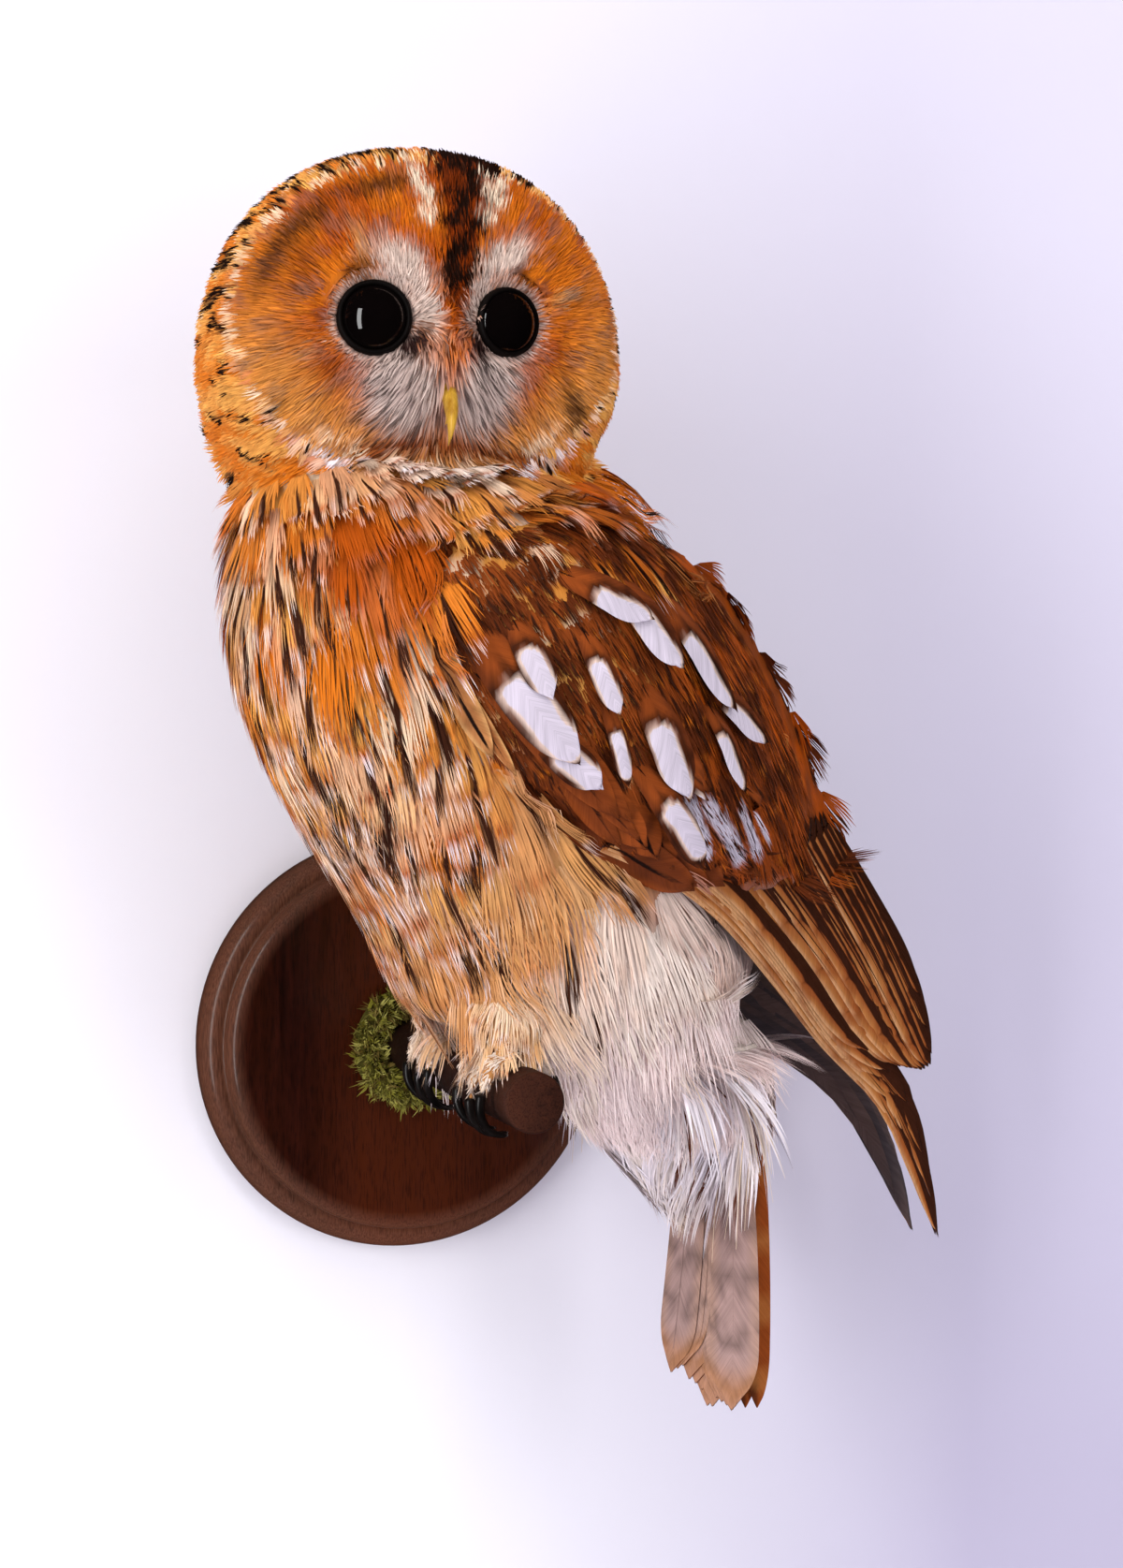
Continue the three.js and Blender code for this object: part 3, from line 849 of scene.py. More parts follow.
@dataclass
class Fan:
    """A soft feather as a fan of fine tapered blades over a shared middle line."""

    blades: int = 9
    levels: int = 5
    blade: float = 1.6  # width of one blade in mm
    start: float = -0.5  # height over the skin at the root
    end: float = 3.5  # height at the tip
    rise: float = 0.8  # power of the rise from one to the other
    rootspread: float = 0.3  # width of the fan at its root as a part of the whole
    closing: float = 0.15  # how much it narrows again at the tip
    round: float = 0.3  # how much shorter the outer blades are
    ragged: float = 0.2  # how unequal the blades are
    camber: float = 0.12  # how much the sides hang down
    twist: float = 25.0  # degrees that a blade may turn about its length
    sway: float = 0.5  # mm that a blade's tip strays sideways

    def grow(self, weave: Weave, spines: Spines, quills: Quills, paint: Brush, random: Random) -> None:
        """Adds the blades of all the feathers to a weave.

        Args:
            weave: collects the mesh.
            spines: the feathers' middle lines.
            quills: the feathers.
            paint: the brush that gives ground and mark.
            random: the random numbers to use.
        """
        feathers, blades, levels = quills.count, self.blades, self.levels
        lane = np.linspace(-1, 1, blades)[None] + random.uniform(-0.6, 0.6, (feathers, blades)) / blades
        reach = (1 - self.round * lane ** 2) * (1 - self.ragged * random.random((feathers, blades)))
        tau = np.linspace(0, 1, levels) ** 0.6
        t = reach[..., None] * tau
        place, normal, across = spines.at(t)
        spread = self.rootspread + (1 - self.rootspread) * np.sin(np.clip(t / 0.6, 0, 1) * math.pi / 2)
        spread = spread - self.closing * ramp(0.6, 1.0, t)
        offset = lane[..., None] * spread
        stray = random.normal(0, self.sway, (feathers, blades, 1)) * tau ** 2
        top = self.end - self.start
        if quills.puff is not None:
            top = top + quills.puff[:, None, None]
        height = self.start + top * t ** self.rise
        height = height + random.uniform(-0.25, 0.35, (feathers, blades, 1)) * (0.3 + 0.7 * tau)
        taper = (0.5 + 0.5 * np.sin(np.clip(tau / 0.45, 0, 1) * math.pi / 2)) * (1 - tau ** 3) + 0.06
        spin = np.radians(random.uniform(-self.twist, self.twist, (feathers, blades, 1)))
        flat = 0.5 * self.blade * taper * random.uniform(0.75, 1.25, (feathers, blades, 1))
        half = quills.half[:, None, None]
        points, lanes = [], []
        for way in (-1, 1):
            sideways = offset * half + stray + way * flat * np.cos(spin)
            rise = height - self.camber * (offset ** 2) * half + way * flat * np.sin(spin)
            points.append(place + across * sideways[..., None] + normal * rise[..., None])
            lanes.append(sideways / half)
        points = np.stack(points, 3)
        a = np.stack(lanes, 3)
        along = np.broadcast_to(t[..., None], a.shape)
        points[:, :, -1, :] = points[:, :, -1, :].mean(2, keepdims=True)
        phase = random.uniform(0, 2 * math.pi, feathers)
        ground, mark = paint(a, along, points, phase)
        shade = 1 + 0.08 * random.normal(size=(feathers, blades, 1, 1, 1))
        ground = ground * np.clip(shade, 0.6, 1.4)
        base = np.arange(feathers * blades).reshape(feathers, blades, 1) * (2 * levels)
        first = base + 2 * np.arange(levels - 1)
        quads = np.stack([first, first + 1, first + 3, first + 2], -1)
        quads[:, :, -1, 2] = quads[:, :, -1, 3]
        drift = random.uniform(0, 50, (feathers, 1, 1, 1))
        reached = along * quills.length[:, None, None, None]
        vane = np.stack([a * half[..., None] * 0.1 + drift, reached * 0.1 + drift], -1)
        corner = unwrap(quills.root)[:, None, None, None, :]
        bake = corner + TUFT_PATCH * np.stack([0.5 + 0.45 * np.clip(a, -1, 1), 0.05 + 0.9 * along], -1)
        weave.add(points, quads, ground, mark, vane, bake)


@dataclass
class Vane:
    """A firm feather as one curved vane."""

    columns: int = 7
    rows: int = 12
    start: float = -0.3  # height over the skin at the root
    end: float = 2.6  # height at the tip
    rise: float = 0.8  # power of the rise from one to the other
    camber: float = 0.18  # how much the sides hang down
    root_width: float = 0.35  # as a part of the greatest width
    widest: float = 0.6  # how far along it is widest
    blunt: float = 2.4  # how square the tip is
    ragged: float = 0.05  # how unequal the barbs are at the tip
    closed: bool = False  # also has an underside
    thick: float = 0.35
    lopside: float = 0.0  # how much narrower the leading side is

    def outline(self, t: Array) -> Array:
        """Gives the half width at t as a part of the widest."""
        rise = self.root_width + (1 - self.root_width) * np.sin(np.clip(t / self.widest, 0, 1) * math.pi / 2)
        end = np.clip((t - self.widest) / (1.0 - self.widest), 0, 1)
        return rise * np.maximum(1 - end ** self.blunt, 0.0) ** (1 / self.blunt) + 0.02

    def grow(self, weave: Weave, spines: Spines, quills: Quills, paint: Brush, random: Random,
             under: Optional[Brush] = None, bake_place: Optional[Array] = None) -> None:
        """Adds the vanes of all the feathers to a weave.

        Args:
            weave: collects the mesh.
            spines: the feathers' middle lines.
            quills: the feathers.
            paint: the brush that gives ground and mark.
            random: the random numbers to use.
            under: paints the underside of a closed vane.
            bake_place: corner and size on the bake map for each feather, where they aren't tufts.
        """
        feathers = quills.count
        c = np.linspace(-1, 1, self.columns)
        s = np.sin(np.linspace(0, 1, self.rows) * math.pi / 2)
        edge = 1 - self.ragged * random.random((feathers, 1, self.columns)) * (0.3 + 0.7 * np.abs(c))
        t = s[None, :, None] * edge
        t = np.broadcast_to(t, (feathers, self.rows, self.columns)).copy()
        width = self.outline(s)[None, :, None]
        back = (0.35 * quills.half / quills.length)[:, None, None]
        tuck = 1 - back * (c ** 2)[None, None, :] * ramp(0.6, 1.0, s)[None, :, None]
        place, normal, across = spines.at(t * tuck)
        half = quills.half[:, None, None]
        lean = np.where(c < 0, 1.0 - self.lopside, 1.0)
        sideways = c * width * half * lean
        height = self.start + (self.end - self.start) * (t ** self.rise)
        height = height - self.camber * (c ** 2) * width * half
        height = height + random.uniform(-0.15, 0.15, (feathers, 1, 1))
        points = place + across * sideways[..., None] + normal * height[..., None]
        phase = random.uniform(0, 2 * math.pi, feathers)
        drift = random.uniform(0, 50, (feathers, 1, 1))
        a = np.broadcast_to(c * lean, t.shape)
        corner = unwrap(quills.root) if bake_place is None else bake_place[:, :2]
        size = np.full((feathers, 2), TUFT_PATCH) if bake_place is None else bake_place[:, 2:]
        i, j = np.meshgrid(np.arange(self.rows - 1), np.arange(self.columns - 1), indexing="ij")
        first = i * self.columns + j
        right = first + self.columns
        quads = np.stack([first, first + 1, right + 1, right], -1).reshape(-1, 4)
        base = (np.arange(feathers) * self.rows * self.columns)[:, None, None]
        layers = [(points, quads, paint, 0.0)]
        if self.closed:
            lower = points - normal * self.thick * (1 - 0.9 * np.abs(c) ** 3)[None, None, :, None]
            layers.append((lower, quads[:, ::-1], under or paint, 0.5))
        for layer, faces, brush, half_map in layers:
            ground, mark = brush(a, t, layer, phase)
            along = t * quills.length[:, None, None]
            barb = np.stack([(along - 1.3 * np.abs(a) * half) * 0.1 + drift, a * half * 0.1 + drift], -1)
            across_map = 0.5 + 0.45 * a if not self.closed else half_map + 0.25 + 0.22 * a
            spot = np.stack([across_map, 0.05 + 0.9 * t], -1)
            bake = corner[:, None, None, :] + size[:, None, None, :] * spot
            weave.add(layer, faces[None] + base, ground, mark, barb, bake)


def scatter(skin: Skin, allowed: Array, spacing: Callable[[Array], Array],
            seed: int) -> tuple[Array, Array]:
    """Spreads roots evenly over a part of the skin.

    Args:
        skin: the surface.
        allowed: which of the skin's faces may carry a root.
        spacing: gives the least distance between roots at given places.
        seed: for the random places.

    Returns:
        The roots and the skin's normals there.
    """
    random = np.random.default_rng(seed)
    corners = skin.points[skin.faces[allowed]]
    facing = skin.normals[skin.faces[allowed]]
    area = np.linalg.norm(np.cross(corners[:, 2] - corners[:, 0], corners[:, 3] - corners[:, 1]), axis=1) / 2
    middle = corners.mean(1)
    need = area / spacing(middle) ** 2
    picks = random.choice(len(area), size=int(need.sum() * 5), p=need / need.sum())
    u, v = random.random((2, len(picks), 1))
    root = ((corners[picks, 0] * (1 - u) + corners[picks, 1] * u) * (1 - v)
            + (corners[picks, 3] * (1 - u) + corners[picks, 2] * u) * v)
    apart = spacing(root)
    finder = KDTree(len(root))
    for index, point in enumerate(root):
        finder.insert(point, index)
    finder.balance()
    open_ = np.ones(len(root), bool)
    chosen = []
    for index, point in enumerate(root):
        if open_[index]:
            chosen.append(index)
            for _, other, _ in finder.find_range(point, apart[index]):
                open_[other] = False
    chosen = np.array(chosen)
    return root[chosen], unit(facing[picks[chosen]].mean(1))


def tangent(ways: Array, normals: Array) -> Array:
    """Lays directions flat on the skin."""
    return unit(ways - (ways * normals).sum(-1, keepdims=True) * normals)


# ---- colours and markings -----------------------------------------------------------------

DISC_WIDTH = 49.5
DISC_HEIGHT = 38.5
DISC_ABOVE = 6.0


def rim_of(local: Array) -> Array:
    """Gives how far out on the facial disc a place of the head's frame lies: 1 is the ruff."""
    return np.hypot(local[..., 0] / DISC_WIDTH, (local[..., 2] - DISC_ABOVE) / DISC_HEIGHT)


def wedge_line(z: Array) -> tuple[Array, Array]:
    """Gives the middle and half width of the dark wedge on the forehead at a height of the head's frame."""
    middle = np.interp(z, [-12, 12, 33, 52], [0.0, -3.0, -6.8, -12.5])
    half = np.interp(z, [-8, 8, 14, 33, 46, 58], [0.7, 1.5, 3.8, 7.0, 9.5, 12.0])
    return middle, half


def spot(local: Array, x: float, z: float, wide: float, tall: float, lean: float = 0.0) -> Array:
    """Gives a soft oval mark on the face.

    Args:
        local: places in the head's frame.
        x: the mark's middle, to the owl's right.
        z: the mark's middle, up.
        wide: half width.
        tall: half height.
        lean: degrees that the oval leans over to the owl's right.

    Returns:
        Strength from 0 to 1.
    """
    turn = math.radians(lean)
    dx, dz = local[..., 0] - x, local[..., 2] - z
    u = dx * math.cos(turn) - dz * math.sin(turn)
    v = dx * math.sin(turn) + dz * math.cos(turn)
    return np.exp(-((u / wide) ** 2 + (v / tall) ** 2) ** 1.5)


def spots(local: Array, ovals: Sequence[Sequence[float]]) -> Array:
    """Gives the strongest of several oval marks, each a row of what spot takes."""
    return np.maximum.reduce([spot(local, *oval) for oval in ovals])


FACE_MARKS = (  # tint, strength, how much fine noise breaks it up, most it may cover, and its ovals
    (Tint.BROW, 1.25, 0.1, 1.0, ((11.0, 18.5, 5.6, 9.0, 40), (5.5, 9.0, 3.4, 9.0, 22),
                                 (-17.0, 21.5, 4.2, 10.0, -58), (-9.5, 12.0, 2.6, 8.5, -26))),
    (Tint.SEPIA, 0.9, 0.15, 0.7, ((22.0, 18.0, 2.4, 5.0, -63), (-23.0, 17.0, 2.0, 4.5, 50))),
    (Tint.GREY, 1.35, 0.0, 1.0, ((11.0, -14.0, 10.0, 12.5, 28), (-11.5, -14.0, 9.0, 12.5, -30))),
    # painted shade in the inner lower corner of each eye
    (Tint.SMUDGE, 1.15, 0.1, 1.0, ((8.4, -1.8, 2.8, 5.0, -38), (-9.4, -2.2, 2.4, 6.4, 22))),
)
CROWN_FLECKS = tuple((x, z, 1.9, 2.2) for x, z in (  # pale flecks beside and in the wedge
    (-16.5, 47), (-19.5, 43), (-15.6, 40.5), (-13.8, 33.5), (4.2, 45), (2.2, 38.5), (3.4, 33.5), (-21.5, 51),
    (5.5, 51), (4.4, 41.5), (-18.0, 38)))
CHIN_CORNERS = ((46, -23, 2.5, 8, -30), (-39, -17, 3.0, 8, 25))
EYE_RING = 10.2  # radius of the grey ring round an eye


def ruffle_at(local: Array) -> Array:
    """Gives the strength of the curly white band under the disc, at places in the head's frame."""
    low = ramp(-10, -20, local[..., 2]) * ramp(42, 26, np.abs(local[..., 0] + 2))
    return bump_at(rim_of(local), 1.03, 0.055) * low * ramp(-4, 10, local[..., 1])


def face_colour(points: Array) -> Array:
    """Gives the colour of the hair-like feathers of the facial disc.

    Args:
        points: places in the owl's frame.

    Returns:
        Linear colours.
    """
    local = HEAD.inward(points)
    x, z = local[..., 0], local[..., 2]
    rim = rim_of(local)
    patchy = wave_noise(local, 9.0, 11)
    fine = wave_noise(local, 3.5, 12)
    colour = blend(Tint.RUFOUS, Tint.ORANGE, ramp(-0.8, 0.9, patchy + 0.4 * fine))
    colour = blend(colour, Tint.BUFF, ramp(0.6, 1.0, rim) * ramp(26.0, -14.0, z) * 0.6)
    colour = blend(colour, Tint.DEEP_RUFOUS, 0.7 * bump_at(rim, 0.8, 0.1) * ramp(0.0, 0.9, patchy))
    for side, eye in seen_by_eyes(local):
        away = np.hypot(eye[..., 0], eye[..., 2]) / EYE_OPEN[side]
        bearing = np.arctan2(eye[..., 2], eye[..., 0] * side)
        outer = ramp(0.3, -0.2, eye[..., 0] * -side / np.maximum(away, 1e-3))
        rays = np.sin(7 * bearing + 1.3 * side) * np.sin(3 * bearing + 0.4)
        colour = blend(colour, Tint.SAND, 0.6 * ramp(0.5, 1.0, rays) * bump_at(away, 20, 6) * outer)
        colour = blend(colour, Tint.DEEP_RUFOUS, 0.55 * bump_at(away, 17.5, 3.0) * ramp(0.1, -0.7, rays))
        colour = blend(colour, Tint.GREY, 0.85 * bump_at(away, EYE_RING, 1.7))
        colour = blend(colour, Tint.UMBER, ramp(LID_EDGE, 8.2, away))
    for tint, strength, broken, most, ovals in FACE_MARKS:
        colour = blend(colour, tint, np.clip(strength * spots(local, ovals) - broken * fine, 0, most))
    middle, half = wedge_line(z)
    inside = ramp(1.15, 0.8, np.abs(x - middle) / half + 0.15 * fine)
    wedge = blend(Tint.UMBER, Tint.DEEP_RUFOUS, ramp(0.1, 0.8, fine + 0.5 * ramp(20, 8, z)))
    wedge = blend(wedge, Tint.RUFOUS, ramp(11, 4, z))
    colour = blend(colour, wedge, inside * ramp(-9, -5, z))
    colour = blend(colour, Tint.CREAM, np.clip(1.2 * spots(local, CROWN_FLECKS), 0, 1))
    chin = bump_at(z + 0.004 * x ** 2, -28.0, 2.8) * ramp(34, 22, np.abs(x + 3))
    colour = blend(colour, Tint.DEEP_RUFOUS, 0.9 * chin)
    colour = blend(colour, Tint.CREAM, 0.8 * ruffle_at(local) * ramp(-0.3, 0.3, fine))
    band = bump_at(rim, 0.96, 0.06) * ramp(4, 22, z) * ramp(-12, 8, x) * ramp(-1.3, -0.1, patchy)
    colour = blend(colour, Tint.SEPIA, 0.9 * band)
    return blend(colour, Tint.SEPIA, 0.9 * spots(local, CHIN_CORNERS))


def bib_at(points: Array) -> Array:
    """Gives the strength of the rufous tuft in front of the bend of each wing."""
    x, y, z = np.moveaxis(points, -1, 0)
    away = ((x - 56) * 0.55) ** 2 + (np.abs(y) - 33) ** 2
    return np.clip(1.2 * np.exp(-(away / 12.0 ** 2) ** 1.5) * bump_at(z, 139, 14), 0, 1)


def on_shoulder(points: Array) -> Array:
    """Says which places over the bend of the wing belong to the wing's plumage."""
    x, y, z = np.moveaxis(points, -1, 0)
    return (z > 106) & (np.abs(y) > np.interp(x, [-60, 0, 36, 46, 52], [16, 20, 27, 38, 60]))


WING_SPOTS = (  # white patches on the outer webs, as lines in the side view: x and z of both ends, half width
    (26, 117, 22, 109, 2.5), (28, 108, 16, 94, 3.6), (15, 91, 7, 85, 2.6), (7, 114, 3, 105, 2.1),
    (1, 96, -2, 87, 1.4), (4, 132, -7, 127, 2.6), (-9, 126, -17, 116, 2.9), (-28, 119, -38, 105, 3.0),
    (-45, 101, -54, 94, 2.5), (-14, 95, -20, 83, 3.4), (-38, 93, -42, 83, 2.3), (-18, 76, -28, 66, 2.3),
    (-27, 78, -37, 64, 2.2), (-35, 77, -51, 62, 2.6), (-49, 75, -58, 63, 1.8), (-57, 73, -63, 66, 1.0))
WING_FLECKS = ((12, 142, 8, 138, 1.8), (7, 137, -3, 135, 2.2), (-20, 136, -28, 130, 1.6),
               (-62, 118, -70, 108, 1.8), (-90, 84, -97, 76, 1.5))


def near_line(points: Array, line: Sequence) -> Array:
    """Gives how far places lie from a line of the side view, as a part of its half width."""
    ax, az, bx, bz, wide = line
    dx, dz = bx - ax, bz - az
    gap_x, gap_z = points[..., 0] - ax, points[..., 2] - az
    part = np.clip((gap_x * dx + gap_z * dz) / (dx * dx + dz * dz), 0, 1)
    return np.hypot(gap_x - part * dx, gap_z - part * dz) / wide


def wing_marks(points: Array, ground: Array) -> Array:
    """Paints the buff flecks of the wing and the white row at its lower edge over a ground."""
    ragged = 0.16 * wave_noise(points, 1.6, 41)
    outer = ramp(36, 42, np.abs(points[..., 1]))
    for lines, colour in ((WING_FLECKS, Tint.BUFF), (WING_SPOTS[-4:], Tint.PATCH)):
        gap = np.minimum.reduce([near_line(points, line) for line in lines]) + ragged
        ground = blend(ground, colour, ramp(1.2, 0.8, gap) * outer)
    return ground


def body_colour(points: Array) -> Array:
    """Gives the ground colour of the coat away from the face.

    Args:
        points: places in the owl's frame.

    Returns:
        Linear colours.
    """
    x, _, z = np.moveaxis(points, -1, 0)
    patchy = wave_noise(points, 16.0, 21)
    small = wave_noise(points, 6.0, 22)
    front = ramp(-15, 25, x + 0.25 * (z - 60))
    colour = blend(Tint.BUFF, Tint.ORANGE, ramp(-0.5, 0.8, patchy))
    colour = blend(colour, Tint.CREAM, ramp(-0.1, 0.9, small + 0.4 * ramp(110, 60, z)) * 0.75 * front)
    flank = ramp(45, 15, x) * ramp(92, 74, z) * ramp(-40, -10, x)
    colour = blend(colour, blend(Tint.SAND, Tint.ORANGE, 0.4 * ramp(-0.4, 0.8, small)), 0.85 * flank)
    vent = ramp(62, 26, z + 0.5 * (x + 20)) * ramp(14, -16, x)
    colour = blend(colour, Tint.WARM_WHITE, vent)
    colour = blend(colour, Tint.RUFOUS, bib_at(points))
    back = ramp(10, -25, x - 0.35 * (z - 110)) * ramp(30, 60, z)
    back = np.maximum(back, ramp(150, 160, z) * ramp(30, -10, x))
    mantle = blend(Tint.WING, Tint.RUFOUS, ramp(-0.4, 1.0, small))
    return blend(colour, mantle, back)


def coat_colour(points: Array) -> Array:
    """Gives the colour of the down under the feathers, by the same markings."""
    local = HEAD.inward(points)
    face = ramp(1.05, 0.98, rim_of(local)) * ramp(4, 10, local[..., 1])
    return blend(body_colour(points), face_colour(points), face)


# ---- the coat, tract by tract -------------------------------------------------------------

def flow_over_head(points: Array, normals: Array) -> Array:
    """Gives the way that feathers point on the head: out from the eyes and bill, then back and down."""
    local = HEAD.inward(points)
    away = np.zeros_like(local)
    for side in (-1, 1):
        eye = np.array([side * EYE_APART / 2, 0.0, EYE_ABOVE])
        reach = (local - eye) * (1.0, 0.0, 1.0)
        far = np.linalg.norm(reach, axis=-1, keepdims=True)
        away += reach / np.maximum(far, 1e-6) * np.exp(-far / 14.0)
    middle = (local - (0.0, 0.0, 2.0)) * (1.0, 0.0, 1.0)
    away += 0.10 * unit(middle)
    lower = (ramp(4, -6, local[..., 2]) * ramp(24, 14, np.abs(local[..., 0])))[..., None]
    fan = unit(local * (0.9, 0.0, 0.0) - (0.0, 0.0, 11.0))
    away = unit(away) * (1 - lower) + fan * lower
    back = unit(local - (0.0, 62.0, 4.0))
    outside = ramp(0.98, 1.12, rim_of(local) + 0.6 * ramp(16, 0, local[..., 1]))[..., None]
    return tangent(HEAD.turn_out(unit(away) * (1 - outside) + back * outside), normals)


def flow_over_body(points: Array, normals: Array) -> Array:
    """Gives the way that feathers point on the body: down, and back towards the tail."""
    x, y, z = np.moveaxis(points, -1, 0)
    back = ramp(5, -40, x - 0.2 * (z - 100))
    low = ramp(60, 10, z)
    way = np.stack([-0.30 - 0.42 * back - 0.10 * low, 0.10 * np.sign(y) * ramp(130, 165, z),
                    -0.95 + 0.22 * back], -1)
    return tangent(unit(way), normals)


@dataclass
class Tract:
    """One tract of soft feathers over a part of the skin."""

    name: str
    slot: str
    seed: int
    spacing: float
    length: float
    half: float
    fan: Fan
    walk: int = 5
    cling: float = 1.0
    fall: Optional[tuple[float, float, float]] = None

    def covers(self, points: Array, region: Array, normals: Array) -> Array:
        """Says which places of the skin belong to the tract."""
        raise NotImplementedError

    def flow(self, points: Array, normals: Array) -> Array:
        """Gives the way that the feathers point."""
        return flow_over_body(points, normals)

    def size(self, points: Array) -> Array:
        """Gives a factor on the feathers' size and spacing at each place."""
        return np.ones(points.shape[:-1])

    def puff(self, points: Array) -> Array:
        """Gives how much further than usual the feathers' tips stand off the skin, in mm."""
        return np.zeros(points.shape[:-1])

    def paint(self, quills: Quills, random: Random) -> Brush:
        """Gives the brush for the tract's feathers."""
        raise NotImplementedError

    def plant(self, skin: Skin) -> Quills:
        """Roots the feathers on the skin."""
        middle = skin.points[skin.faces].mean(1)
        facing = unit(skin.normals[skin.faces].mean(1))
        allowed = self.covers(middle, skin.region[skin.faces[:, 0]], facing)
        root, normal = scatter(skin, allowed, lambda p: self.spacing * self.size(p), self.seed)
        random = np.random.default_rng(self.seed + 1)
        size = self.size(root)
        way = self.flow(root, normal)
        side = np.cross(normal, way)
        way = unit(way + side * random.normal(0, 0.09, (len(root), 1)))
        length = self.length * size * random.uniform(0.85, 1.15, len(root))
        half = self.half * size * random.uniform(0.85, 1.15, len(root))
        return Quills(root, normal, way, length, half, self.puff(root))

    def build(self, skin: Skin, material: Material) -> Object:
        """Grows the tract's feathers and joins them into one piece."""
        random = np.random.default_rng(self.seed + 2)
        quills = self.plant(skin)
        spines = lay(skin, quills, self.walk, self.cling, self.fall)
        weave = Weave()
        self.fan.grow(weave, spines, quills, self.paint(quills, random), random)
        return weave.write(self.name, material, self.slot)


def on_face(points: Array) -> Array:
    """Says which places lie on the facial disc."""
    local = HEAD.inward(points)
    return (rim_of(local) < 1.0) & (local[..., 1] > 6)


def near_eye(points: Array, reach: float) -> Array:
    """Says which places lie within reach of an eye's middle."""
    close = np.zeros(points.shape[:-1], bool)
    for side, eye in seen_by_eyes(HEAD.inward(points)):
        close |= np.hypot(eye[..., 0], eye[..., 2]) < reach * EYE_OPEN[side]
    return close


@dataclass
class HeadTract(Tract):
    """A tract whose feathers follow the head."""

    def flow(self, points: Array, normals: Array) -> Array:
        """Runs out from the eyes and bill, then back and down."""
        return flow_over_head(points, normals)


@dataclass
class FaceTract(HeadTract):
    """The hair-like feathers of the facial disc."""

    def covers(self, points: Array, region: Array, normals: Array) -> Array:
        """Keeps to the disc and off the eyes."""
        return on_face(points) & ~near_eye(points, LID_EDGE)

    def size(self, points: Array) -> Array:
        """Keeps the feathers shortest round the eyes and longest beside the bill."""
        local = HEAD.inward(points)
        away = np.min([np.hypot(eye[..., 0], eye[..., 2]) for _, eye in seen_by_eyes(local)], 0)
        beside = ramp(4, -8, local[..., 2]) * ramp(22, 14, np.abs(local[..., 0]))
        return 0.55 + 0.45 * ramp(9, 20, away) + 0.35 * beside

    def puff(self, points: Array) -> Array:
        """Lifts the bristles over the root of the bill."""
        local = HEAD.inward(points)
        return 6.0 * ramp(8.0, 3.0, np.abs(local[..., 0])) * bump_at(local[..., 2], -5.0, 7.5)

    def paint(self, quills: Quills, random: Random) -> Brush:
        """Gives the disc's own colours, with dark hairs among the bristles."""
        local = HEAD.inward(quills.root)
        beside = ramp(6, -2, local[:, 2]) * ramp(24, 17, np.abs(local[:, 0]))
        stray = random.normal(0, 0.9, (quills.count, self.fan.blades, 1, 1, 3))
        dark = random.random((quills.count, self.fan.blades)) < 0.16
        line = (dark * (0.15 + 0.6 * beside[:, None]))[..., None, None]

        def brush(a: Array, t: Array, points: Array, phase: Array) -> tuple[Array, Array]:
            """Colours a place by where it is on the face."""
            ground = blend(face_colour(points + stray), Tint.UMBER, line * ramp(0.05, 0.4, t))
            return unmarked(ground)
        return brush


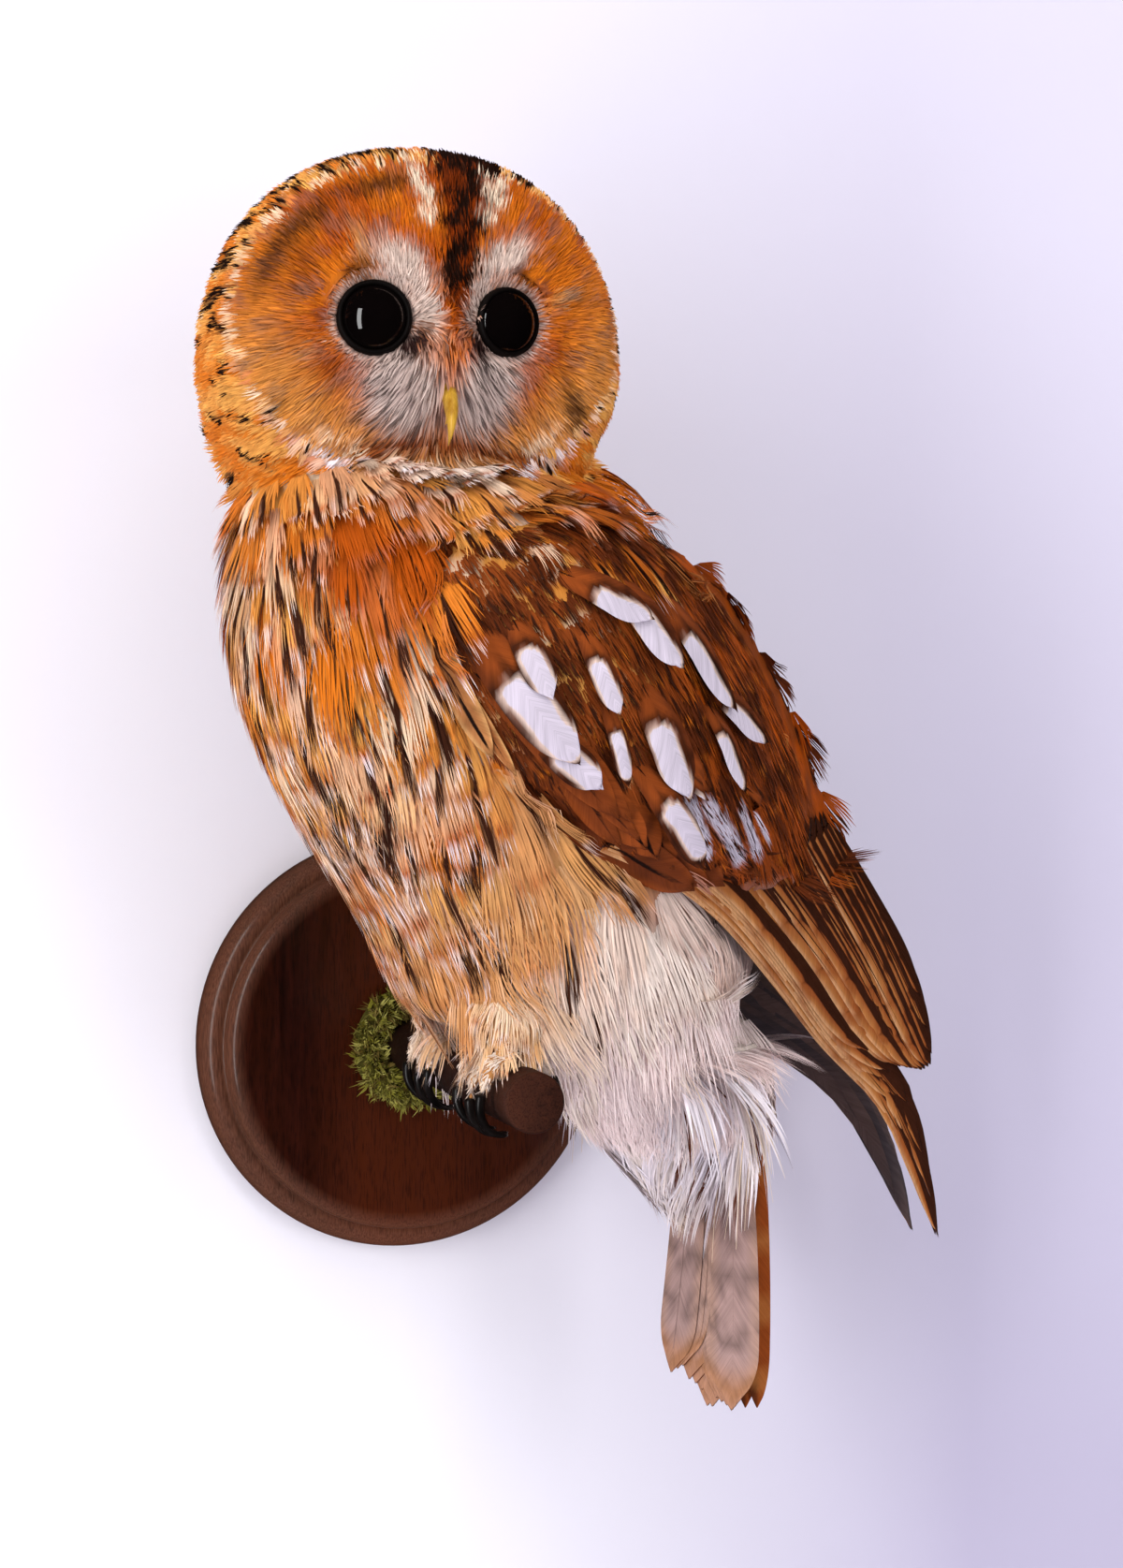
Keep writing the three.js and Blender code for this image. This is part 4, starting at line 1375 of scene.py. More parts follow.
@dataclass
class CrownTract(HeadTract):
    """Crown, nape and the sides of the head behind the disc."""

    def covers(self, points: Array, region: Array, normals: Array) -> Array:
        """Takes the head outside the disc."""
        return (region == Region.HEAD) & ~on_face(points)

    def size(self, points: Array) -> Array:
        """Keeps the feathers smallest at the ruff."""
        local = HEAD.inward(points)
        nape = ramp(-12, -30, local[..., 2]) * ramp(8, -12, local[..., 1]) * ramp(4, -14, local[..., 0])
        return 0.62 + 0.38 * ramp(16, -6, local[..., 1]) + 0.7 * nape

    def puff(self, points: Array) -> Array:
        """Fluffs the lower back of the head."""
        local = HEAD.inward(points)
        low = ramp(-10, -34, local[..., 2]) * ramp(10, -10, local[..., 1])
        return low * (8.0 + 7.0 * ramp(4, -14, local[..., 0]))

    def paint(self, quills: Quills, random: Random) -> Brush:
        """Gives orange-buff feathers, some with a dark blotch, and the wedge on the crown."""
        count = quills.count
        local = HEAD.inward(quills.root)
        middle, half = wedge_line(np.maximum(local[:, 2], 30.0))
        on_top = ramp(24, 34, local[:, 2]) * ramp(-8, 10, local[:, 1])
        wedge = ramp(1.2, 0.8, np.abs(local[:, 0] - middle) / half) * on_top
        beside = bump_at(np.abs(local[:, 0] - middle) / half, 1.45, 0.35) * on_top
        ruff = bump_at(rim_of(local), 1.01, 0.022) * ramp(6, 16, local[:, 1])
        ruffle = ruffle_at(local)
        patchy = wave_noise(local, 7.0, 25)
        patchy = patchy + 0.5 * random.normal(size=count)
        ground = blend(Tint.BUFF, Tint.ORANGE, ramp(-0.8, 0.8, patchy))
        ground = blend(ground, Tint.RUFOUS, ramp(10, -30, local[:, 1]) * 0.6)
        ground = blend(ground, Tint.CREAM, ruff * random.uniform(0.0, 0.9, count))
        ground = blend(ground, Tint.WHITE, ruffle * ramp(0.2, 0.45, random.random(count)))
        ground = blend(ground, Tint.SEPIA, wedge)
        high = ramp(-12, 24, local[:, 2])
        dapple = wave_noise(local, 4.2, 27) + 0.25 * random.normal(size=count)
        blotch = ramp(0.85 - 0.95 * high, 1.1 - 0.95 * high, dapple) * (1 - 0.9 * ruff) * (1 - 0.8 * ruffle)
        ground = blend(ground, Tint.SEPIA, 0.85 * blotch)
        dots = (random.random(count) < 0.35) * np.maximum(ruff, 0.8 * ruffle) * 0.16
        pale = np.clip((random.random(count) < 0.12 * high) * 0.8 * (1 - blotch) + beside, 0, 1)
        plan = Plan(ground, blend(ground, Tint.BUFF, 0.5 * (1 - wedge)), Tint.CREAM, Tint.UMBER,
                    Tint.DEEP_RUFOUS, pale, 0.45 * blotch + dots + 0.6 * wedge, 0.4 * random.random(count),
                    0.85 * blotch + 0.75 * wedge)
        return plan.paint


def in_front(points: Array) -> Array:
    """Says which places of the trunk and neck belong to the bird's underside and not to its back."""
    x, y, z = np.moveaxis(points, -1, 0)
    return x - 0.2 * (z - 100) > -32 + 0.25 * np.abs(y)


def on_body(points: Array, region: Array) -> Array:
    """Says which places of the trunk and neck lie outside the wings' plumage."""
    return ((region == Region.TRUNK) & ~on_shoulder(points)) | (region == Region.NECK)


@dataclass
class BreastTract(Tract):
    """Neck front, breast, belly and flanks: long soft feathers with dark shafts and rufous bars."""

    def covers(self, points: Array, region: Array, normals: Array) -> Array:
        """Takes the front and sides of the trunk and neck."""
        return on_body(points, region) & in_front(points) & ~on_face(points)

    def size(self, points: Array) -> Array:
        """Grows the feathers from the throat down to the belly."""
        size = 0.36 + 0.64 * ramp(180, 124, points[..., 2]) + 0.1 * ramp(90, 50, points[..., 2])
        return size * (1 - 0.5 * ruffle_at(HEAD.inward(points)))

    def puff(self, points: Array) -> Array:
        """Fluffs the neck and the tufts in front of the wings."""
        z = points[..., 2]
        return 4.0 * bump_at(z, 162, 12) + 3.0 * bib_at(points) + 2.5 * ramp(66, 36, z)

    def paint(self, quills: Quills, random: Random) -> Brush:
        """Plans streaks, white patches and bars by place."""
        count = quills.count
        x, _, z = quills.root.T
        tips = quills.root + quills.way * quills.length[:, None] * 0.6
        silky = ramp(45, 20, x) * ramp(90, 74, z)
        belly = ramp(118, 84, z) * (1 - silky)
        bib = bib_at(tips)
        ruffle = ruffle_at(HEAD.inward(quills.root))
        warm = random.random(count)
        ground = blend(body_colour(tips), Tint.ORANGE, 0.4 * ramp(0.3, 0.9, warm) * (1 - silky))
        neck = ramp(146, 162, z) * (1 - ruffle)
        ground = blend(ground, Tint.WING, 0.35 * neck * random.random(count))
        curl = ramp(0.35, 0.6, random.random(count))
        ground = blend(ground, blend(Tint.UMBER, Tint.WARM_WHITE, curl), 0.9 * ruffle)
        ground = blend(ground, Tint.RUFOUS, bib)
        pale = np.where(random.random(count) < 0.55 + 0.4 * belly, random.uniform(0.75, 1.0, count), 0.0)
        pale = pale * (1 - bib) * (1 - 0.6 * silky) * (1 - 0.6 * neck)
        streaked = random.random(count) < 0.75 - 0.45 * silky
        streak = np.where(streaked, random.uniform(0.10, 0.22, count), 0.0) * (1 - 0.8 * bib)
        streak = streak * (1 - 0.6 * ruffle) * ramp(26, 62, z + 0.5 * (x + 20))
        edge = blend(ground, Tint.ORANGE, random.uniform(0.1, 0.6, count) * (1 - bib) * (1 - silky))
        edge = blend(edge, Tint.CREAM, 0.6 * (random.random(count) < 0.35) * (1 - bib) * (1 - neck))
        bars = np.where(random.random(count) < 0.45 + 0.45 * belly, random.uniform(0.6, 1.0, count), 0.0)
        plan = Plan(ground, edge, blend(Tint.WARM_WHITE, Tint.WHITE, random.random(count)),
                    Tint.SEPIA, Tint.RUFOUS, pale, streak, bars * (1 - bib) * (1 - 0.8 * silky))
        return plan.paint


@dataclass
class MantleTract(Tract):
    """The back between the wings, and the nape above it."""

    def covers(self, points: Array, region: Array, normals: Array) -> Array:
        """Takes the back of the trunk and neck."""
        between = np.abs(points[:, 1]) < np.interp(points[:, 2], [60, 110, 150], [24, 32, 60])
        return on_body(points, region) & ~in_front(points) & between & (points[:, 2] > 28)

    def puff(self, points: Array) -> Array:
        """Fluffs the nape."""
        return 12.0 * bump_at(points[..., 2], 168, 18)

    def paint(self, quills: Quills, random: Random) -> Brush:
        """Gives rufous feathers with long dark streaks."""
        count = quills.count
        nape = ramp(140, 165, quills.root[:, 2])
        ground = blend(Tint.RUFOUS, Tint.WING, random.random(count) * (1 - nape))
        ground = blend(ground, Tint.ORANGE, 0.8 * nape)
        plan = Plan(ground, blend(ground, Tint.ORANGE, 0.6 * random.random(count)), Tint.BUFF, Tint.UMBER,
                    Tint.SEPIA, 0.5 * (random.random(count) < 0.2), random.uniform(0.14, 0.3, count),
                    0.5 * random.random(count), 0.2 * random.random(count))
        return plan.paint


@dataclass
class VentTract(Tract):
    """Long white hair-like feathers under the root of the tail and behind the thighs."""

    def covers(self, points: Array, region: Array, normals: Array) -> Array:
        """Takes the vent and the lowest part of the trunk behind the legs."""
        x, z = points[:, 0], points[:, 2]
        behind = (region == Region.TRUNK) & (z < 46) & (x < 2 + 0.4 * (46 - z))
        return (((region == Region.VENT) & (z > -12)) | behind) & (normals[:, 2] > -0.8)

    def size(self, points: Array) -> Array:
        """Shortens the lowest hair, so that it all ends at about the same height."""
        return np.clip((points[..., 2] + 24.0) / 44.0, 0.5, 1.0)

    def flow(self, points: Array, normals: Array) -> Array:
        """Hangs down and back, spread a little."""
        way = np.sign(points) * (0.0, 0.06, 0.0) - (0.30, 0.0, 0.95)
        return tangent(unit(way), normals)

    def paint(self, quills: Quills, random: Random) -> Brush:
        """Gives cream hair with some warm and some smoky tufts."""
        count = quills.count
        warm = ramp(26, 60, quills.root[:, 2]) * random.random(count)
        smoky = ramp(-78, -98, quills.root[:, 0]) * random.random(count)
        ground = blend(Tint.BLUSH, Tint.SAND, 0.8 * warm)
        ground = blend(ground, Tint.DUSK, 0.6 * smoky)

        def brush(a: Array, t: Array, points: Array, phase: Array) -> tuple[Array, Array]:
            """Paints shade on the hidden roots: each hair is a little darker towards its root."""
            return unmarked(ground[per_feather(t)] * (0.85 + 0.15 * ramp(0.0, 0.5, t))[..., None])
        return brush


@dataclass
class LegTract(Tract):
    """Feathered legs."""

    def covers(self, points: Array, region: Array, normals: Array) -> Array:
        """Takes the legs and the trunk just over them."""
        x, z = points[:, 0], points[:, 2]
        under = (region == Region.TRUNK) & (z < 24) & (x > 2)
        return (region == Region.LEG) | under

    def flow(self, points: Array, normals: Array) -> Array:
        """Runs down the leg."""
        return tangent(np.tile([0.05, 0.0, -1.0], (len(points), 1)), normals)

    def paint(self, quills: Quills, random: Random) -> Brush:
        """Gives cream with rufous bars and a few dark streaks."""
        count = quills.count
        high = ramp(0, 22, quills.root[:, 2])
        ground = blend(Tint.CREAM, Tint.BUFF, (0.4 + 0.4 * high) * random.random(count))
        plan = Plan(ground, blend(ground, Tint.WHITE, 0.4), Tint.WHITE, Tint.SEPIA, Tint.RUFOUS,
                    random.random(count), np.where(random.random(count) < 0.25, 0.16, 0.0),
                    np.where(random.random(count) < 0.35, 0.7, 0.0))
        return plan.paint


@dataclass
class ToeTract(Tract):
    """Short bristly feathers down to the claws."""

    def covers(self, points: Array, region: Array, normals: Array) -> Array:
        """Takes the feet."""
        return region == Region.FOOT

    def flow(self, points: Array, normals: Array) -> Array:
        """Runs along the toes, away from the top of the rod and round it."""
        from_rod = points - (points @ ROD_OUT)[:, None] * ROD_OUT
        side = np.sign(points @ ROD_FRONT + 2.0)[:, None]
        return tangent(unit(np.cross(ROD_OUT, from_rod) * side), normals)

    def paint(self, quills: Quills, random: Random) -> Brush:
        """Gives creamy white."""
        return plain_brush(blend(Tint.CREAM, Tint.WARM_WHITE, random.random(quills.count)))


def plain_brush(ground: Array) -> Brush:
    """Gives a brush that paints each feather in its own one colour."""
    return lambda a, t, points, phase: unmarked(np.broadcast_to(ground[per_feather(a)], a.shape + (3,)))


@dataclass
class WingTract(Tract):
    """The small coverts of both wings."""

    def covers(self, points: Array, region: Array, normals: Array) -> Array:
        """Takes the outsides of the wing shields and the shoulders over them."""
        wing = (region == Region.WING) & (normals[:, 1] * np.sign(points[:, 1]) > 0.02)
        return wing | ((region == Region.TRUNK) & on_shoulder(points))

    def flow(self, points: Array, normals: Array) -> Array:
        """Runs down and back, flatter towards the tip of the wing."""
        low = ramp(100, 55, points[:, 2])
        edge = 0.28 * ramp(-56, -84, points[:, 0] - 0.4 * (points[:, 2] - 110))
        way = np.stack([edge - 0.52 - 0.2 * low, 0.06 * np.sign(points[:, 1]), -0.84 + 0.16 * low], -1)
        return tangent(unit(way), normals)

    def size(self, points: Array) -> Array:
        """Grows the coverts away from the bend of the wing."""
        return 0.7 + 0.3 * ramp(40, -20, points[..., 0] - 0.5 * (points[..., 2] - 140))

    def paint(self, quills: Quills, random: Random) -> Brush:
        """Gives dark rufous brown near the bend and warmer tones towards the back."""
        count = quills.count
        x, z = quills.root[:, 0], quills.root[:, 2]
        warm = ramp(10, -70, x - 0.4 * (z - 110))
        mottle = ramp(-0.7, 0.9, wave_noise(quills.root, 9.0, 33) + 0.4 * random.normal(size=count))
        ground = blend(Tint.WING_DARK, Tint.WING, mottle)
        ground = blend(ground, Tint.RUFOUS, warm * mottle * random.uniform(0.5, 1.0, count))
        plan = Plan(ground, blend(ground, Tint.RUFOUS, 0.5 * mottle * random.random(count)), Tint.ORANGE,
                    Tint.SEPIA, Tint.SEPIA, 0.8 * (random.random(count) < 0.15 + 0.15 * warm),
                    random.uniform(0.05, 0.2, count), 0.5 * random.random(count), 0.1 * random.random(count))
        return wing_brush(plan)


def wing_brush(plan: Plan) -> Brush:
    """Gives a brush for the wing: each feather's own pattern with the wing's flecks over it."""
    def brush(a: Array, t: Array, points: Array, phase: Array) -> tuple[Array, Array]:
        """Colours places on the feathers."""
        ground, mark = plan.paint(a, t, points, phase)
        return wing_marks(points, ground), mark
    return brush


# ---- the large feathers of wings and tail -------------------------------------------------

def smooth_rows(rows: Sequence[Sequence[float]]) -> Callable[[Array], Array]:
    """Gives a smooth curve through rows of numbers, as a function of t from 0 to 1."""
    table = np.array(rows, float)

    def at(t: Array) -> Array:
        """Gives the row at t."""
        x = np.clip(t, 0, 1) * (len(table) - 1)
        low = np.minimum(x.astype(int), len(table) - 2)
        part = (x - low)[..., None]
        pick = lambda shift: table[np.clip(low + shift, 0, len(table) - 1)]
        a, b, c, d = pick(-1), pick(0), pick(1), pick(2)
        return b + 0.5 * part * (c - a + part * (2 * a - 5 * b + 4 * c - d + part * (3 * (b - c) + d - a)))
    return at


@dataclass
class Plate:
    """One sheet of a folded wing, between its lower front edge and its upper back edge."""

    front: Sequence[Sequence[float]]
    back: Sequence[Sequence[float]]
    bulge: Sequence[float]
    thick: float = 1.0

    def spine(self, end: Array, lane_begin: Array, lane_end: Array, levels: int, lift: Array,
              side: int) -> Spines:
        """Gives middle lines of feathers that lie along the plate from its upper end.

        Args:
            end: where along the plate each feather's tip is, from 0 to 1.
            lane_begin: its place across the plate at the start, from 0 at the front edge to 1.
            lane_end: its place across at the tip.
            levels: places on each line.
            lift: height over the plate's outer face in mm.
            side: 1 for the left wing and -1 for the right.

        Returns:
            The middle lines in the owl's frame.
        """
        s = np.linspace(0, 1, levels)[None]
        t = end[:, None] * s
        lane = lane_begin[:, None] + (lane_end - lane_begin)[:, None] * s
        place = self.surface(t, lane)
        ahead = self.surface(t + 0.01, lane) - self.surface(t - 0.01, lane)
        over = self.surface(t, lane + 0.02) - self.surface(t, lane - 0.02)
        normal = unit(np.cross(over, ahead))
        normal = normal * np.sign(normal[..., 1:2])
        place = place + normal * (self.thick / 2 + lift[:, None, None])
        across = unit(over - (over * unit(ahead)).sum(-1, keepdims=True) * unit(ahead))
        flip = np.array([1.0, side, 1.0])
        return Spines(place * flip, normal * flip, across * flip)

    def surface(self, t: Array, lane: Array) -> Array:
        """Gives points of the middle of the plate on the left side."""
        front, back = smooth_rows(self.front)(t), smooth_rows(self.back)(t)
        bulge = smooth_rows([[b] for b in self.bulge])(t)[..., 0]
        point = front + (back - front) * lane[..., None]
        arch = bulge * (1 - (2 * lane - 1) ** 2)
        return point + arch[..., None] * (0.0, 1.0, 0.0)


def flight_brush(count: int, random: Random, under: bool = False) -> Brush:
    """Gives the brush of flight feathers: a barred brown web with a buff outer edge and a dark inner web,
    which is partly painted shadow under the next feather.

    Args:
        count: how many feathers.
        random: the random numbers to use.
        under: for the plain greyish underside.

    Returns:
        A brush.
    """
    start = random.uniform(0, 2 * math.pi, count)

    def brush(a: Array, t: Array, points: Array, phase: Array) -> tuple[Array, Array]:
        """Colours places on the feathers."""
        begin = start[per_feather(a)]
        if under:
            return unmarked(blend(Tint.UNDERWING, Tint.DUSK, 0.5 + 0.5 * np.sin(22 * t + begin)))
        uneven = 0.5 * np.sin(9 * t + 2 * begin)
        ground = blend(Tint.WING, Tint.FLIGHT, ramp(-0.15, -0.6, a + 0.1 * uneven))
        ground = blend(ground, Tint.FLIGHT_EDGE, 0.85 * ramp(-0.5, -0.75, a))
        bars = np.cos(30 * t + 1.6 * a + begin + uneven)
        ground = blend(ground, Tint.WING, 0.65 * ramp(0.2, 0.9, bars) * ramp(-0.95, -0.6, a))
        # the dark inner web: partly the feather's own colour, partly painted shadow where the next feather
        # lies over it
        mark = np.maximum(ramp(-0.4, -0.15, a), 0.6 * ramp(0.4, 1.0, bars) * ramp(-0.75, -0.4, a))
        colour = np.broadcast_to(Tint.SEPIA.rgb, ground.shape)
        return ground, np.concatenate([colour, 0.85 * mark[..., None]], -1)
    return brush


def strips(count: int, step: float, low: float, wide: float, tall: float) -> Array:
    """Gives each feather of a row its own strip of the bake map: corner, width and height."""
    return np.array([(0.01 + i * step, low, wide, tall) for i in range(count)])


@dataclass
class FlightFeathers:
    """Primaries and secondaries of one folded wing, as stacked firm vanes."""

    side: int
    seed: int = 300
    primary_count: int = 10
    secondary_count: int = 12
    primaries: Plate = field(default_factory=lambda: Plate(
        [[-2, 49, 66], [-26, 47, 57], [-50, 42, 44], [-80, 30, 23], [-108, 18, 3], [-137, 10.5, -20],
         [-163, 6, -62]],
        [[-12, 50, 74], [-38, 44.5, 66], [-64, 36, 51], [-93, 26, 30], [-122, 15, 7], [-155, 8.5, -16],
         [-171, 5.5, -62]],
        [1, 1, 1, 1, 0.6, 0.4, 0]))
    secondaries: Plate = field(default_factory=lambda: Plate(
        [[-50, 42, 62], [-70, 36, 47], [-95, 27, 29], [-120, 18, 9], [-144, 12, -10]],
        [[-113, 12, 68], [-127, 9.5, 53], [-143, 7.5, 33], [-158, 6, 11], [-165, 5, -7]],
        [9, 6, 4, 2, 1]))

    def build(self, material: Material) -> Object:
        """Builds the wing's flight feathers as one piece."""
        name = "left" if self.side > 0 else "right"
        random = np.random.default_rng(self.seed + self.side)
        weave = Weave()
        count = self.primary_count
        k = np.arange(count) / (count - 1)
        end = np.interp(k, [0, 0.12, 0.25, 0.35, 0.6, 1], [0.86, 0.95, 1.0, 0.995, 0.93, 0.72])
        half = np.interp(k, [0, 0.2, 1], [4.2, 6.2, 8.5])
        self.sheet(weave, self.primaries, end, 0.16 + 0.7 * k, 0.22 + 0.55 * k, half, -1.2 + 1.6 * k,
                   random, 0.01)
        count = self.secondary_count
        k = np.arange(count) / (count - 1) + random.normal(0, 0.012, count)
        end = np.interp(k, [0, 0.5, 0.8, 1], [0.93, 1.0, 0.98, 0.72])
        self.sheet(weave, self.secondaries, end, 0.06 + 0.88 * k, 0.10 + 0.80 * k, np.full(count, 8.5),
                   -0.8 + 2.8 * k, random, 0.51)
        piece = weave.write(f"flight_feathers_{name}", material, "flight_feathers")
        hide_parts(f"wing_{name}_secondaries", f"wing_{name}_primaries")
        return piece

    def sheet(self, weave: Weave, plate: Plate, end: Array, lane_begin: Array, lane_end: Array, half: Array,
              lift: Array, random: Random, map_low: float) -> None:
        """Adds one row of feathers with their shafts.

        Args:
            weave: collects the mesh.
            plate: the sheet of the wing that the row lies on.
            end: where along the plate each feather's tip is.
            lane_begin: its place across the plate at the start.
            lane_end: its place across at the tip.
            half: its half width.
            lift: its height over the plate.
            random: the random numbers to use.
            map_low: lower edge of the row's strips on the bake map.
        """
        spines = plate.spine(end, lane_begin, lane_end, 14, lift, self.side)
        length = np.linalg.norm(np.diff(spines.places, axis=1), axis=2).sum(1)
        quills = Quills(spines.places[:, 0], spines.normals[:, 0],
                        unit(spines.places[:, 1] - spines.places[:, 0]), length, half)
        vane = Vane(columns=9, rows=34, start=0.0, end=0.0, camber=0.10, root_width=0.8, widest=0.75,
                    blunt=2.0, ragged=0.015, closed=True, lopside=0.35)
        count = len(half)
        vane.grow(weave, spines, quills, flight_brush(count, random), random,
                  flight_brush(count, random, under=True), strips(count, 0.07, map_low, 0.06, 0.45))
        shafts(weave, spines, quills, Tint.SEPIA.rgb, 0.55)


def shafts(weave: Weave, spines: Spines, quills: Quills, colour: Array, radius: float) -> None:
    """Adds a raised tapering shaft along the middle of each feather."""
    levels = 10
    t = np.broadcast_to(np.linspace(0.0, 0.93, levels), (quills.count, levels))
    place, normal, across = spines.at(t)
    size = radius * (1.0 - 0.85 * t)[..., None]
    ring = [across * size, normal * size * 1.2, -across * size]
    points = np.stack([place + offset for offset in ring], 2)
    first = (np.arange(quills.count)[:, None] * levels + np.arange(levels - 1)[None]) * 3
    quads = np.concatenate([np.stack([first + i, first + i + 1, first + i + 4, first + i + 3], -1)
                            for i in (0, 1)], 1)
    ground = np.broadcast_to(colour, points.shape)
    vane = np.zeros(points.shape[:-1] + (2,))
    bake = vane + unwrap(quills.root)[:, None, None, :]
    weave.add(points, quads, *unmarked(ground), vane, bake)


@dataclass
class Tail:
    """Twelve tail feathers hanging straight down, seen from below as pale and barred."""

    seed: int = 400
    count: int = 12
    root: tuple[float, float, float] = (-81.0, 0.0, 8.0)
    reach: float = 112.0

    def build(self, material: Material) -> Object:
        """Builds the tail as one piece."""
        random = np.random.default_rng(self.seed)
        count = self.count
        k = np.linspace(-1, 1, count)
        s = np.linspace(0, 1, 10)[None]
        length = self.reach * (1.0 - 0.03 * np.abs(k)) * np.where(k > 0, 1.0, 0.95)
        length = length - random.uniform(0, 5, count)
        places = np.stack([
            self.root[0] - 6.1 * s + 8.5 * s ** 2 + 1.6 * np.abs(k)[:, None],
            k[:, None] * (5.5 + 8.5 * s ** 0.8),
            self.root[2] - length[:, None] * s], -1)
        normals = np.broadcast_to(unit(np.array([1.0, 0.0, 0.04])), places.shape)
        normals = unit(normals + np.array([0.0, 0.12, 0.0]) * k[:, None, None])
        along = unit(np.gradient(places, axis=1))
        across = unit(np.cross(along, normals)) * np.where(k > 0, -1.0, 1.0)[:, None, None]
        spines = Spines(places, normals, across)
        quills = Quills(places[:, 0], normals[:, 0], along[:, 0], length, np.full(count, 9.5))
        vane = Vane(columns=9, rows=30, start=0.0, end=0.0, camber=0.06, root_width=0.55, widest=0.86,
                    blunt=2.0, ragged=0.0, closed=True)
        weave = Weave()
        vane.grow(weave, spines, quills, self.below(random), random, self.above(),
                  strips(count, 0.08, 0.01, 0.07, 0.9))
        shafts(weave, spines, quills, Tint.UNDERTAIL.rgb * 0.7, 0.35)
        self.folded(weave, vane, random)
        piece = weave.write("tail_feathers", material, "flight_feathers")
        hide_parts("tail")
        return piece

    def folded(self, weave: Weave, vane: Vane, random: Random) -> None:
        """Adds the outermost feathers of the left side, folded back so that their upper sides show."""
        s = np.linspace(0, 1, 10)[None]
        shift = np.array([[0.0], [2.2]])
        length = self.reach * 0.97
        places = np.stack([self.root[0] - 4.0 - 6.6 * s + 8.5 * s ** 2 - 1.2 * shift,
                           5.5 + 7.5 * s ** 0.8 + shift, self.root[2] - length * s + 0 * shift], -1)
        normals = np.broadcast_to(unit(np.array([0.25, 1.0, 0.0])), places.shape)
        across = unit(np.cross(unit(np.gradient(places, axis=1)), normals))
        quills = Quills(places[:, 0], normals[:, 0], np.tile([0.0, 0.0, -1.0], (2, 1)), np.full(2, length),
                        np.full(2, 3.6))
        vane.grow(weave, Spines(places, normals, across), quills, self.above(), random, self.above(),
                  strips(2, 0.49, 0.92, 0.4, 0.07))

    def below(self, random: Random) -> Brush:
        """Gives the underside: greyish buff with blotchy bars and warmer tips."""
        start = random.uniform(0, 1.5, self.count)

        def brush(a: Array, t: Array, points: Array, phase: Array) -> tuple[Array, Array]:
            """Colours places on the feathers."""
            ground = blend(Tint.UNDERTAIL, Tint.SAND, 0.25 * ramp(0.5, 1.0, np.abs(a)))
            bars = np.cos(46 * t + 1.2 * np.abs(a) + start[:, None, None]) + 0.8 * wave_noise(points, 4.0, 61)
            ground = blend(ground, Tint.DUSK, 0.6 * ramp(0.0, 1.0, bars))
            return unmarked(blend(ground * 0.85, Tint.FLIGHT, 0.55 * ramp(0.86, 0.96, t)))
        return brush

    def above(self) -> Brush:
        """Gives the upper side: rufous brown with darker bars."""
        def brush(a: Array, t: Array, points: Array, phase: Array) -> tuple[Array, Array]:
            """Colours places on the feathers."""
            ground = blend(Tint.WING, Tint.SEPIA, 0.75 * ramp(-0.2, 0.5, a + 0.4 * np.sin(7 * t)))
            bars = 0.5 + 0.5 * np.cos(34 * t + 0.5 * a)
            return unmarked(blend(ground, Tint.FLIGHT, 0.45 * ramp(0.5, 1.0, bars)))
        return brush


# ---- rows of large feathers set one by one ------------------------------------------------

@dataclass(frozen=True)
class Pattern:
    """The colours and markings that the feathers of a row share."""

    ground: Tint = Tint.WING
    edge: Tint = Tint.FLIGHT
    pale: float = 0.0
    streak: float = 0.2
    bars: float = 0.4

    def plan(self, count: int, random: Random) -> Plan:
        """Varies the pattern from feather to feather."""
        ground = blend(self.ground, self.edge, 0.5 * random.random(count))
        pale, streak, bars = (amount * random.uniform(low, high, count) for amount, low, high in (
            (self.pale, 0.7, 1.0), (self.streak, 0.6, 1.2), (self.bars, 0.6, 1.0)))
        return Plan(ground, self.edge, Tint.WHITE, Tint.UMBER, Tint.UMBER, pale, streak, bars)


@dataclass(frozen=True)
class Row:
    """One row of firm feathers from a first to a last one, given on the owl's left side."""

    roots: tuple[tuple[float, float, float], tuple[float, float, float]]
    tips: tuple[tuple[float, float, float], tuple[float, float, float]]
    count: int
    half: float
    lift: float
    look: Pattern = Pattern()

    def lay(self, skin: Skin, side: int, random: Random) -> tuple[Quills, Spines]:
        """Lays the row on the skin of one side."""
        k = np.linspace(0, 1, self.count)[:, None]
        ends = [np.array(first) * (1 - k) + np.array(last) * k for first, last in (self.roots, self.tips)]
        roots, tips = (end * (1.0, side, 1.0) + random.normal(0, 0.9, end.shape) for end in ends)
        quills, spines = drape(skin, roots, tips, 8, self.lift)
        taper = np.interp(k[:, 0], [0, 0.7, 1], [1.0, 1.0, 0.55])
        quills.half = self.half * taper * random.uniform(0.9, 1.1, self.count)
        return quills, spines


@dataclass
class Rows:
    """Rows of firm feathers joined into one piece."""

    name: str
    slot: str
    seed: int
    rows: Sequence[Row]
    sides: Sequence[int] = (1, -1)
    vane: Vane | Fan = field(default_factory=lambda: Vane(
        columns=11, rows=30, end=2.0, root_width=0.55, widest=0.6, blunt=2.0, ragged=0.04))

    def build(self, skin: Skin, material: Material) -> Object:
        """Builds the rows."""
        random = np.random.default_rng(self.seed)
        weave = Weave()
        for row in self.rows:
            for side in self.sides:
                quills, spines = row.lay(skin, side, random)
                self.vane.grow(weave, spines, quills, wing_brush(row.look.plan(row.count, random)), random)
                shafts(weave, spines, quills, Tint.UMBER.rgb, 0.22)
        return weave.write(self.name, material, self.slot)


